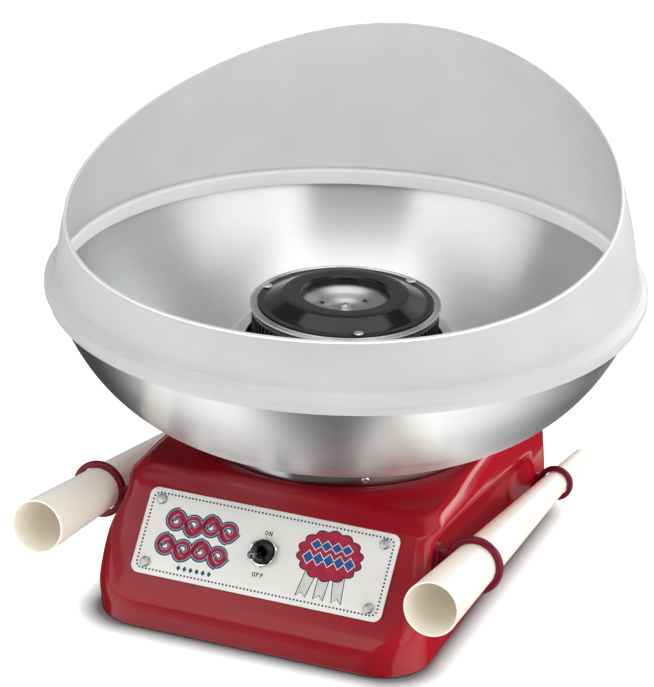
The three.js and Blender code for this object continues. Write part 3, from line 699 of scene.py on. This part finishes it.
def vine(x0, x1, u0, swing, period, lean):
    """A running scroll, as (points, width) lines: a waving stem with a volute in each bend."""
    count, stem = 90, []
    for k in range(count + 1):
        x = lerp(x0, x1, k / count)
        stem.append((x, u0 + lean * (x - x0) + swing * sin(tau * (x1 - x0) * k / count / period)))
    lines = [(stem, 2.3)]
    for b in range(int((x1 - x0) / period * 2 + .01)):
        x = x0 + period * (.25 + .5 * b)
        hand = -1 if b % 2 == 0 else 1
        u = u0 + lean * (x - x0) - .1 * hand * swing
        lines.append((curl(x, u, swing * 1.12, -hand * pi / 2, 1.3, -hand), 2.1))
    return lines


def draw_lines(name, lines, extra, z, material):
    """Strokes that thin out towards both ends."""
    parts = []
    for points, width in lines:
        n = len(points) - 1
        widths = [(.35 + .65 * sin(pi * (.12 + .76 * k / n))) * width + extra
                  for k in range(n + 1)]
        parts.append(ribbon(points, widths, 0, PRINT * z))
    printed(name, merged(*parts), material)


def build_scrolls():
    """Fairground scrollwork where the panel carries its decoration."""
    rows = vine(-56.5, -16.5, 7.0, 5.0, 20.0, .01) + vine(-59.0, -19.0, -6.8, 5.0, 20.0, .01)
    draw_lines("scroll_edge", rows, 2.2, 1, "ink_navy")
    draw_lines("scroll_line", rows, .7, 1.6, "ink_sky")
    draw_lines("scroll_fill", rows, 0.0, 2.2, "ink_red")
    beads = [diamond(-44 + 3.5 * k, -17.0, 1.2, 1.6, PRINT) for k in range(6)]
    printed("scroll_beads", merged(*beads), "ink_teal")


def rosette(cx, cy, rx, ry, lobes=14, depth=.10, n=240):
    out = []
    for i in range(n):
        a = tau * i / n
        k = 1 + depth * abs(sin(lobes * a / 2)) - depth
        out.append((cx + rx * k * cos(a), cy + ry * k * sin(a)))
    return out


def badge_rows(name, cx, cy, grow, z, material):
    """Two rows of diamonds across the badge."""
    parts = []
    for up, count, h in ((4.0, 4, 2.7), (-3.2, 5, 3.4)):
        parts += [diamond(cx + (k - (count - 1) / 2) * 5.7, cy + up, 2.9 + grow, h + grow, z)
                  for k in range(count)]
    printed(name, merged(*parts), material)


def build_badge():
    """A generic prize rosette with ribbon tails."""
    cx, cy = 35.5, 6.0
    tails = [[(cx + x0 - 3.2, cy - 9), (cx + x0 + 3.2, cy - 9), (cx + x1 + 2.7, cy - 24.4),
              (cx + x1, cy - 21.8), (cx + x1 - 2.7, cy - 24.4)]
             for x0, x1 in ((-7.5, -10.5), (0.0, -.6), (7.5, 9.5))]
    printed("badge_tails", merged(*[slab(t, 0, PRINT) for t in tails]), "ink_grey")
    edges = [ribbon(t + [t[0]], [.45] * (len(t) + 1), 0, PRINT * 1.5) for t in tails]
    printed("badge_tail_lines", merged(*edges), "ink_black")
    printed("badge_edge", slab(rosette(cx, cy - .7, 18.6, 13.9), 0, PRINT * 2.0), "ink_black")
    printed("badge_field", slab(rosette(cx, cy - .7, 18.0, 13.3), 0, PRINT * 2.6), "ink_red")
    badge_rows("badge_row_edge", cx, cy, .55, PRINT * 3.2, "panel")
    badge_rows("badge_row", cx, cy, 0, PRINT * 3.8, "ink_blue")


def glyph(letter, x, y, h):
    """Plain capital letters O, N and F drawn with square strokes."""
    s, w = h * .19, h * .74
    if letter == "O":
        rings = [[(x + w / 2 + (w / 2 - d) * cos(tau * i / 32),
                   y + h / 2 + (h / 2 - d) * sin(tau * i / 32), z) for i in range(32)]
                 for d, z in ((0, 0), (0, PRINT), (s, PRINT), (s, 0))]
        return [loft(rings)]
    stem = bar(x, y, x + s, y + h, 0, PRINT)
    if letter == "N":
        slant = [(x, y + h), (x + w - s, y), (x + w, y), (x + s, y + h)]
        return [stem, bar(x + w - s, y, x + w, y + h, 0, PRINT), slab(slant, 0, PRINT * .99)]
    return [stem, bar(x + s, y + h - s, x + w * .8, y + h, 0, PRINT),
            bar(x + s, y + h * .45, x + w * .7, y + h * .45 + s, 0, PRINT)]


def build_labels():
    h, parts = 2.5, []
    step = h * .92
    for word, up in (("ON", LABEL_UP), ("OFF", LABEL_DOWN)):
        for i, letter in enumerate(word):
            parts += glyph(letter, -step * len(word) / 2 + i * step, up - h / 2, h)
    printed("switch_labels", merged(*parts), "ink_black")


# ---- toggle switch ----
BUSH_OUT = 4.2
NUT_T, NUT_AF = 2.2, 14.3


def build_bushing():
    """Threaded bushing with a chamfered mouth round the lever."""
    n, turns, steps, rows = 64, 9, 54, []
    z0, z1 = -6.5, BUSH_OUT - .6
    for k in range(steps + 1):
        radii = [BUSH_R - .18 + .16 * cos(tau * (turns * k / steps - i / n)) for i in range(n)]
        rows.append(polar(radii, lerp(z0, z1, k / steps)))
    top = fillet([(BUSH_R - .3, z1 + .05), (BUSH_R - .5, BUSH_OUT - .2, .5), (3.9, BUSH_OUT, .5),
                  (3.0, BUSH_OUT - .5, .5), (2.7, BUSH_OUT - 2.0, .4), (2.7, BUSH_OUT - 6.2)], 5,
                 False)
    rows += [circle(r, n, z) for r, z in top]
    mesh_piece("bushing_thread", loft(rows, True), "gloss_black",
               "base", ["switch_bushing"], FACE_M)


def hexagon(af, n, clip):
    """Hexagon radius at n angles, with its corners cut back to a circle."""
    return [min(af / 2 / cos(tau * i / n % (pi / 3) - pi / 6), clip) for i in range(n)]


def build_nut():
    n, turn = 180, pi / 6
    full = NUT_AF / 2 / cos(pi / 6)
    z0, z1 = GAP, GAP + NUT_T
    outside = ((z0, .7), (z0 + .35, 0), (z1 - .55, .05), (z1 - .3, .35), (z1 - .08, .8), (z1, 1.1))
    bore = ((z1, .75), (z1 - .35, .3), (z0, .3))
    rings = [polar(hexagon(NUT_AF, n, full - cut), z, turn) for z, cut in outside]
    rings += [circle(BUSH_R + gap, n, z, phase=turn) for z, gap in bore]
    mesh_piece("hex_nut", loft(rings), "chrome",
               "base", ["switch_nut"], FACE_M, sharp=25)


LEVER_L, BALL_R, LEVER_TILT = 17.4, 2.3, radians(17)


def build_lever():
    """Bat lever with a ball tip, leaning towards OFF at rest."""
    lo = BUSH_OUT - 3.4
    stem = fillet([(0, -2.2), (1.5, -1.6, .4), (2.2, 0, 1.0), (1.75, 1.4, .5), (1.45, 3.2, 2),
                   (1.38, 8, 4), (1.18, LEVER_L - 2.2, .5), (1.1, LEVER_L - 1.9)], 5, False)
    ball = [(BALL_R * cos(a), LEVER_L + BALL_R * sin(a))
            for a in np.linspace(-1.02, pi / 2, 20)]
    ball[-1] = (0, LEVER_L + BALL_R)
    place = FACE_M @ Matrix.Translation((0, 0, lo)) @ Matrix.Rotation(LEVER_TILT, 4, "X")
    mesh_piece("toggle_lever", revolve(stem + ball, 64), "chrome_painted_dark", "lever",
               ["switch_lever"], place)


# ---- seat collar, pedestal and gland ----
def build_collar():
    lo, hi = mm_box("seat_collar")
    r, z0, z1 = hi.x, lo.z, hi.z
    inner = r - 5.8
    profile = fillet([(inner, z0, .3), (r - .5, z0, .3), (r - .5, z0 + .9, .2),
                      (r - .05, z0 + 1.3, .3), (r - .05, z1 - 1.4, .6), (r - 1.4, z1, .6),
                      (inner, z1, .3)], 4)
    mesh_piece("seat_ring", revolve(profile, 224), "collar",
               "base", ["seat_collar"])


def build_collar_screws():
    shank = revolve([(0, -7), (1.1, -7), (1.1, .2), (0, .2)], 24)
    reach = mm_box("seat_collar")[1].x + .25
    for k in range(1, 4):
        name = "collar_screw_%d" % k
        c = box_centre(name)
        out = Vector((c.x, c.y, 0)).normalized()
        at = out * reach + AXIS_Z * c.z
        mesh_piece("plated_" + name, merged(screw_head(2.1, 1.1, .36), shank), "chrome",
                   "base", [name], basis(AXIS_Z.cross(out), AXIS_Z, out, at))


def build_pedestal():
    lo, hi = mm_box("motor_pedestal")
    profile = fillet([(hi.x, lo.z), (hi.x, lo.z + 1.4, .3), (58.4, lo.z + 1.4, 1.2),
                      (58.4, hi.z, 1.8), (21, hi.z, .3), (21, hi.z - 1.2), (57.2, hi.z - 1.2, 1),
                      (57.2, lo.z)], 5)
    mesh_piece("pedestal_drum", revolve(profile, 160), "zinc",
               "base", ["motor_pedestal"])


def build_gland():
    lo, hi = mm_box("cord_gland")
    c = (lo + hi) / 2
    place = basis(AXIS_X, -AXIS_Z, AXIS_Y, Vector((c.x, lo.y, c.z)))
    depth = hi.y - lo.y
    flange = depth - 3.4
    profile = [(3.4, 0, .2), (5.4, 0, .3), (5.4, flange, .1), (8.4, flange, .2),
               (8.4, flange + 2.0, .7), (7.2, depth - .9, .4), (6.2, depth, .4), (3.4, depth, .6)]
    mesh_piece("gland_bush", revolve(fillet(profile, 5), 72), "nylon",
               "base", ["cord_gland"], place)


# ---- spinner head ----
HEAD_R, HEAD_Z = mm_box("head_rim")[1].xz
DOME_TOP = mm_box("head_cover")[1].z
DOME_HOLE, DOME_FLAT, DOME_FOOT = 23.2, 32.3, 43.4


def build_head_cover():
    r, z, t = HEAD_R - 4.2, HEAD_Z, DOME_TOP
    profile = [(r, z - .6, .3), (r, z + .55, .35), (DOME_FOOT + .4, z + .5, 1.2),
               (DOME_FOOT - 1.2, z + 1.2, 1.2), (DOME_FLAT + 1.6, t - .25, 1.6),
               (DOME_FLAT - 1.0, t, 1.5), (DOME_HOLE + 1.1, t, 1.0), (DOME_HOLE, t - 1.1, 1.0),
               (DOME_HOLE, t - 4.2, .3), (DOME_HOLE + 1.2, t - 4.2, .3),
               (DOME_HOLE + 1.5, t - 1.5, .5), (DOME_FLAT - .6, t - 1.6, 1),
               (DOME_FOOT - 2.0, z - .6, .5)]
    mesh_piece("head_dome", revolve(fillet(profile, 7), 224), "gloss_black",
               "spinner", ["head_cover"])


def build_head_rim():
    r, z = HEAD_R, HEAD_Z
    profile = [(DOME_FOOT + 1.2, z - 2), (r - .9, z - 2, .2), (r - .9, z - 1.5, .2),
               (r, z - 1.3, .25), (r, z - .1, .5), (r - 1.3, z, .5), (r - 1.6, z - .7, .2),
               (r - 2.6, z - .7, .2), (r - 2.8, z - .1, .4), (r - 3.9, z - .15, .4),
               (r - 3.9, z - .95), (DOME_FOOT + 1.2, z - .95)]
    mesh_piece("head_ring", revolve(fillet(profile, 5), 224), "rim",
               "spinner", ["head_rim"])


def build_drum():
    """Heater drum: thin upright fins between two hoops, dark inside."""
    lo, hi = mm_box("heater_drum")
    r, z0, z1 = hi.x, lo.z, hi.z
    parts = [revolve(fillet([(r - 1.6, z), (r, z, .3), (r, z + 2.2, .3), (r - 1.6, z + 2.2)], 3),
                     160) for z in (z0, z1 - 2.2)]
    parts.append(revolve([(r - 2.6, z0), (r - 2.2, z0), (r - 2.2, z1), (r - 2.6, z1)], 120))
    count = 80
    for k in range(count):
        fin = bar(r - 1.9, -.28, r - .15, .28, z0 + 1.8, z1 - 1.8)
        parts.append(moved(fin, Matrix.Rotation(tau * k / count, 4, "Z")))
    mesh_piece("drum_fins", merged(*parts), "satin_black", "spinner", ["heater_drum"])


def build_plate():
    """Dished sugar plate with three black discs round its screw: painted shade for holes that are
    not cut.
    """
    z0 = mm_box("sugar_plate")[1].z
    top = [(5.4, -5.2), (9, -4.9), (12.2, -3.9), (17.4, -3.2), (22.4, -1.2), (26, -.3), (30, 0)]
    under = [(30, -.9), (24, -1.6), (17.6, -4.1), (12, -4.8), (9, -5.9), (5.4, -6.2)]
    profile = fillet([(r, z0 + z, 9.0) for r, z in top] + [(r, z0 + z, 3.0) for r, z in under], 6)
    mesh_piece("sugar_dish", revolve(profile, 240), "plate",
               "spinner", ["sugar_plate"])
    # the holes are not cut: thin black discs paint the shade of each hole
    hole_shade = revolve(fillet([(0, -.05), (1.55, -.05), (1.55, .16, .05), (1.2, .18, .05), (1.1, .1),
                           (0, .1)], 3, False), 32)
    hole_shades = [moved(hole_shade, Matrix.Translation((13.8 * cos(a), 13.8 * sin(a), z0 - 3.7)))
             for a in (-pi / 3, pi / 3, pi)]
    mesh_piece("dish_hole_shades", merged(*hole_shades), "satin_black", "spinner")


def build_head_screw():
    base = mm_box("head_screw")[1].z - 2.1
    washer = fillet([(0, base - .5), (5.8, base - .5, .15), (5.8, base - .1, .15),
                     (0, base - .1)], 4, False)
    mesh_piece("centre_washer", revolve(washer, 64), "plate", "spinner")
    hexed = [polar(hexagon(4.6, 72, clip), base + up)
             for up, clip in ((-.2, 2.7), (1.3, 2.7), (1.7, 2.5), (1.9, 2.1))]
    tip = revolve([(0, base + 1.5), (1.1, base + 1.5), (1.1, base + 2.0), (.9, base + 2.1),
                   (0, base + 2.1)], 32)
    mesh_piece("centre_bolt", merged(loft(hexed, True), tip), "chrome",
               "spinner", ["head_screw"], sharp=30)


def build_head_rivets():
    profile = fillet([(0, 0), (2.65, 0, .1), (2.65, .35, .25), (2.3, .75, .5), (1.2, .9, .4),
                      (0, .92)], 4, False)
    for k in range(1, 4):
        name = "head_rivet_%d" % k
        lo, hi = mm_box(name)
        mesh_piece("silver_" + name, revolve(profile, 48), "rivet", "spinner",
                   [name], standing_at(name, hi.z - lo.z - .92))


def build_head_floor():
    lo, hi = mm_box("head_base")
    r, z0, z1 = hi.x, lo.z, hi.z
    profile = [(4.3, z0), (r - 6, z0, .8), (r - 5, z0 + .8, .8), (r, z0 + .8, .2), (r, z1, .3),
               (r - 6, z1, .5), (4.3, z1)]
    mesh_piece("head_floor", revolve(fillet(profile, 4), 160), "zinc",
               "spinner", ["head_base"])


# ---- bowl and splash shield ----
BOWL_LO, BOWL_HI = mm_box("bowl")
BOWL_R, BOWL_TOP = BOWL_HI.x, BOWL_HI.z
BOWL_T = 0.9
SEAT_R, SEAT_Z = 75.4, BOWL_LO.z
HUB_R0, HUB_R1, HUB_Z, HUB_HOLE = 66.0, 62.4, 126.0, 54.0


def bowl_curve():
    """Outer line of the bowl from its rim to its seat, then up the hub to its hole."""
    a, b, c = Vector((BOWL_R - .7, BOWL_TOP - 4.6)), Vector((133.1, 92.2)), Vector((SEAT_R, SEAT_Z))
    line = [Vector((BOWL_R, BOWL_TOP - .5)), Vector((BOWL_R, BOWL_TOP - 2.0))]
    line += [a * (1 - t) ** 2 + b * 2 * t * (1 - t) + c * t * t for t in np.linspace(0, 1, 56)]
    hub = [(69.5, 85.6, 2.5), (HUB_R0 + .3, 88.6, 2.5), (HUB_R1 + .3, HUB_Z - 2.4, 2.2),
           (HUB_R1 - 3.2, HUB_Z - BOWL_T, 1.2), (HUB_HOLE, HUB_Z - BOWL_T)]
    line += [Vector(p) for p in fillet([(SEAT_R, SEAT_Z)] + hub, 6, False)[1:]]
    return line


def build_bowl():
    outer = bowl_curve()
    inner = []
    for i, p in enumerate(outer):
        a, b = outer[max(0, i - 1)], outer[min(len(outer) - 1, i + 1)]
        t = (b - a).normalized()
        inner.append(Vector((p.x + BOWL_T * t.y, p.y - BOWL_T * t.x)))
    inner[0] = Vector((BOWL_R - BOWL_T, BOWL_TOP - .5))
    inner[-1] = Vector((HUB_HOLE, HUB_Z))
    profile = [(p.x, p.y) for p in outer + inner[::-1]]
    profile += [(BOWL_R - BOWL_T + .12, BOWL_TOP - .15), (BOWL_R - BOWL_T / 2, BOWL_TOP),
                (BOWL_R - .12, BOWL_TOP - .15)]
    mesh_piece("spun_bowl", revolve(profile, 288), "bowl", "bowl", ["bowl"])


RIM_MEAN, RIM_TILT, RIM_CURVE = 219.65, 37.3, 7.9
RIM_TURN = radians(1.8)     # the high side sits this far round from the back
SHIELD_T, SHIELD_N = 1.4, 288      # thickness, and points round it
WALL_Z0, WALL_R0 = 166.4, 155.3


def wall_r(z):
    t = (z - 166) / 100
    return WALL_R0 - 7.73 * t - 22.3 * t * t


def rim_z(a):
    a -= RIM_TURN
    return RIM_MEAN + RIM_TILT * sin(a) - RIM_CURVE * cos(2 * a)


def wall_ring(t, off, drop=0.0):
    """A ring of the shield's wall, from its foot at t = 0 to its rim at 1."""
    out = []
    for a in (tau * i / SHIELD_N for i in range(SHIELD_N)):
        z = WALL_Z0 + t * (rim_z(a) - WALL_Z0) - drop
        r = wall_r(z) - off
        out.append((r * cos(a), r * sin(a), z))
    return out


def build_shield():
    """Flange, slanted wall with a wavy rim, and the lip and groove under it."""
    lip = WALL_R0 - 2.5
    lo, hi = mm_box("splash_shield")
    outside = [(156.7, 0, .3), (159.2, 0, .5), (159.8, 4.5, .25), (hi.x, 5.1, .35),
               (hi.x, 8.7, .5), (hi.x - .9, 9.7, .35), (WALL_R0 + 2.2, 11.2, .5),
               (WALL_R0 + .3, 11.7, .5)]
    inside = [(WALL_R0 - 1.8, 10.6, .4), (lip, 9.8, .4), (lip, 2.3, .4), (154.4, 2.3, .2),
              (154.4, 4.1, .2), (157.0, 4.1, .2), (157.0, 8.8, .4), (158.8, 7.8, .5),
              (159.7, 6.0, .4), (159.1, 4.6, .3), (158.2, 3.0, .3), (156.7, 1.8, .2)]
    rings, under = ([circle(r, SHIELD_N, lo.z + z) for r, z in fillet(side, 4, False)]
                    for side in (outside, inside))
    levels = [k / 26 for k in range(27)]
    rings += [wall_ring(t, 0, .5 if t == 1 else 0) for t in levels]
    rings += [wall_ring(1, SHIELD_T * (.5 - .42 * cos(a)), .5 * (1 - sin(a)))
              for a in (.5, 1.0, pi / 2, 2.1, 2.6)]
    rings += [wall_ring(t, SHIELD_T, .5 if t == 1 else 0) for t in reversed(levels)]
    mesh_piece("frosted_shield", loft(rings + under), "frost",
               "shield", ["splash_shield"], sharp=50)


def build_shield_edge():
    """Rolled bead along the rim of the shield, paler than the shield: a painted highlight along the
    rim.
    """
    half = SHIELD_T / 2
    rings = [wall_ring(1, half - (half + .12) * cos(a), 1.0 - .8 * sin(a))
             for a in np.linspace(0, tau, 13)[:-1]]
    mesh_piece("shield_bead", loft(rings), "frost_rim_highlight", "shield")


# ---- cones and their rings ----
def cone_matrix(side):
    at, d = CONE_LINES[side]
    x = Vector((side, 0, 0))
    x = (x - d * x.dot(d)).normalized()
    return basis(x, d.cross(x), d, at)


def cone_radius(s):
    return lerp(CONE_R0, CONE_R1, s / CONE_L)


def build_cone(side):
    name = "cone_right" if side > 0 else "cone_left"
    inner = CONE_R0 - 1.0
    profile = [(0, CONE_L), (CONE_R1 - .9, CONE_L, .6), (CONE_R1, CONE_L - 1.3, .8),
               (CONE_R0 - .02, 1.0, .3), (CONE_R0, .35, .3), (CONE_R0 - .35, 0, .25),
               (inner + .2, 0, .25), (inner, .5, .3), (CONE_R1 - 1.0, CONE_L - 6, .6),
               (0, CONE_L - 4.6)]
    points, dense = fillet(profile, 4, False), []
    for a, b in zip(points, points[1:]):
        count = max(1, int(dist(a, b) / 12))
        dense += [between(a, b, k / count) for k in range(count)]
    mesh_piece("ivory_" + name, revolve(dense + points[-1:], 128), "ivory",
               name, [name], cone_matrix(side))


def ring_hoop(s, half, thick):
    """A moulded hoop round the cone: flat inside, crowned outside."""
    r = cone_radius(s - half) + GAP
    outline = [(r, s - half, .4), (r + thick * .75, s - half, .9), (r + thick, s, 2.2),
               (r + thick * .75, s + half, .9), (r, s + half, .4)]
    return revolve(fillet(outline, 4), 96)


RING_ROOT = 84.0         # where the arms leave the housing, from the middle


def build_ring(side, which):
    """A hoop on an arm that grows out of a pad on the housing."""
    tag = "%s_%s" % (which, "right" if side > 0 else "left")
    half, thick, h = (2.0, 3.7, 5.5) if which == "front" else (1.7, 3.1, 4.5)
    at, d = CONE_LINES[side]
    s = (box_centre("cone_ring_" + tag).y - at.y) / d.y
    c = at + d * s
    reach = abs(c.x) - cone_radius(s) - 1.4

    def upright(x, w, tall, r):
        corners = [(-w, -tall, r), (w, -tall, r), (w, tall, r), (-w, tall, r)]
        return [(side * x, c.y + y, c.z + z) for y, z in fillet(corners, 4)]

    hoop = moved(ring_hoop(s, half, thick), cone_matrix(side))
    arm = [upright(lerp(RING_ROOT, reach, t), 2.0 - .25 * t, h * (1.12 - .30 * t), .8)
           for t in (0, .25, .5, .75, 1)]
    pad = [upright(RING_ROOT + out, 2.2 + grow, h + grow, 1.6)
           for out, grow in ((-2, 2.2), (3.2, 2.2), (4.2, 1.7), (4.6, .6))]
    mesh_piece("hoop_" + tag, merged(hoop, loft(arm, True), loft(pad, True)), "maroon",
               "base", ["cone_ring_" + tag])


# ---- hidden works keep their CAD shape and get real finishes ----
FINISH = {
    "nylon": "bottom_cover cooling_fan",
    "bakelite": "switch_body terminal_block brush_block slip_hub",
    "iron": "motor_stator motor_rotor heater_ribbon",
    "copper": "stator_coil_upper stator_coil_lower",
    "zinc": "motor_bridge_upper motor_bridge_lower motor_shaft",
    "brass": "bearing_upper bearing_lower slip_ring_lower slip_ring_upper",
    "carbon": "brush_lower brush_upper",
}


def finish_hidden():
    for material, names in FINISH.items():
        for name in names.split():
            mesh = frame["nodes"][name].data
            mesh.materials.clear()
            mesh.materials.append(M[material])
            mesh.shade_smooth()
            mesh.set_sharp_from_angle(angle=radians(32))


# ---- camera, floor and light ----
AIM = Vector((-.0088, -.0034, .1220))
AZIMUTH, ROLL = radians(21.19), radians(1.47)
ELEVATION, DISTANCE = 23.82, 1.7244      # in degrees and metres


def around(bearing, elevation, distance):
    """A point round the object: bearing from the camera's side, both angles in degrees."""
    a, e = AZIMUTH + radians(bearing), radians(elevation)
    return Vector((sin(a) * cos(e), -cos(a) * cos(e), sin(e))) * distance


def build_camera():
    back = around(0, ELEVATION, 1)
    right = Vector((cos(AZIMUTH), sin(AZIMUTH), 0))
    up = back.cross(right)
    x = right * cos(ROLL) + up * sin(ROLL)
    y = up * cos(ROLL) - right * sin(ROLL)
    data = bpy.data.cameras.new("camera")
    data.lens, data.sensor_width = 167.35, 36.0
    data.clip_start, data.clip_end = .1, 100
    cam = new_object("camera", data)
    cam.matrix_world = basis(x, y, back, AIM + back * DISTANCE)
    bpy.context.scene.camera = cam


def beyond_base(at):
    """Distance outside the rounded footprint of the base, in metres."""
    r, mid = .022, (FRONT + REAR) / 2 * MM
    x, y, _ = split_xyz(at)
    dx = (x.math("ABSOLUTE") - (HALF_W * MM - r)).math("MAXIMUM")
    dy = ((y - mid).math("ABSOLUTE") - ((REAR - FRONT) / 2 * MM - r)).math("MAXIMUM")
    return root_sum(dx, dy) - r


def build_floor():
    mesh = bpy.data.meshes.new("floor")
    mesh.from_pydata([(-20, -20, 0), (20, -20, 0), (20, 20, 0), (-20, 20, 0)], [], [(0, 1, 2, 3)])
    mat = moulded("studio_paper_painted_shadow", (.24, .24, .24), (.26, .26, .26), (.80, .90), 2.0, .01, 300,
                  Specular_IOR_Level=.1, Emission_Color=(1, 1, 1, 1))
    tree = mat.node_tree
    # painted contact shadow: the glow is nil at the base's footprint and full 15.5 mm beyond it
    glow_with_painted_shadow = beyond_base(place_coords(tree)).spread(.0, 1.15, .0, .0155)
    put(glow_with_painted_shadow, tree.nodes["Principled BSDF"].inputs["Emission Strength"])
    mesh.materials.append(mat)
    floor = new_object("floor", mesh)
    floor.visible_glossy = False


def softbox(name, bearing, elevation, distance, size, radiance):
    data = bpy.data.lights.new(name, "AREA")
    data.shape = "RECTANGLE"
    data.size, data.size_y = size
    data.energy = radiance * pi * size[0] * size[1]
    light = new_object(name, data)
    light.location = around(bearing, elevation, distance) + Vector((0, 0, .1))
    light.rotation_euler = (-around(bearing, elevation, 1)).to_track_quat("-Z", "Y").to_euler()
    light.visible_camera = False
    return light


def sector(turn, start, full, fade, end):
    """1 inside a range of bearings, with soft edges; bearings in degrees."""
    return (turn.spread(0, 1, radians(start), radians(full))
            * turn.spread(1, 0, radians(fade), radians(end)))


def build_world():
    """Dim surroundings with a pale sector on each side of the camera, as in a photo booth."""
    world = bpy.data.worlds.new("studio")
    bpy.context.scene.world = world
    world.use_nodes = True
    world.cycles.sampling_method = "NONE"
    tree = world.node_tree
    x, y, z = split_xyz(node(tree, "TexCoord").outputs["Generated"])
    s, c = sin(AZIMUTH), cos(AZIMUTH)
    ahead, aside = x * s - y * c, x * c + y * s
    turn = aside.math("ARCTAN2", ahead)
    low = z.spread(1.4, .0, -.05, .15)
    sides = (sector(turn, -108, -96, -45, -41) + sector(turn, 21, 25, 80, 125)) * low
    front = ahead.spread(.08, .32, -.3, .6) * z.spread(.6, 1, -.1, .2)
    haze = z.spread(0, 1, -.05, .15) * z.spread(1, 0, .22, .42)
    sky = z.spread(.0, .25, .45, .85) + ahead.spread(.75, 0, -.6, -.2) * haze
    back = tree.nodes["Background"].inputs
    put(sides + front + sky, back["Strength"])
    back["Color"].default_value = (1, 1, 1, 1)


def build_lights():
    softbox("left_box", -60, 22, 1.7, (1.9, 1.2), 1.6)
    softbox("right_box", 61, 22, 1.7, (2.9, 1.2), 1.9)
    softbox("rear_box", 133, 24, 1.7, (1.3, .9), 4.4)
    softbox("top_box", 0, 84, 1.8, (1.7, 2.4), 1.6)


def light_side(shell):
    """A lamp that brightens only the housing, from its right, and leaves no highlight."""
    lamp = softbox("side_box", 72, 20, 1.7, (.6, .6), 24)
    lamp.visible_glossy = False
    lit = bpy.data.collections.new("side_lit")
    lit.objects.link(shell)
    lamp.light_linking.receiver_collection = lit


build_camera()
build_floor()
build_world()
build_lights()
bpy.context.scene.view_settings.view_transform = "Standard"
light_side(build_housing())
build_feet()
build_cover_screws()
build_panel()
build_rivets()
border_dots()
build_scrolls()
build_badge()
build_labels()
build_bushing()
build_nut()
build_lever()
build_collar()
build_collar_screws()
build_pedestal()
build_gland()
build_head_cover()
build_head_rim()
build_drum()
build_plate()
build_head_screw()
build_head_rivets()
build_head_floor()
build_bowl()
build_shield()
build_shield_edge()
for cone_side in (-1, 1):
    build_cone(cone_side)
    for ring_name in ("front", "rear"):
        build_ring(cone_side, ring_name)
finish_hidden()
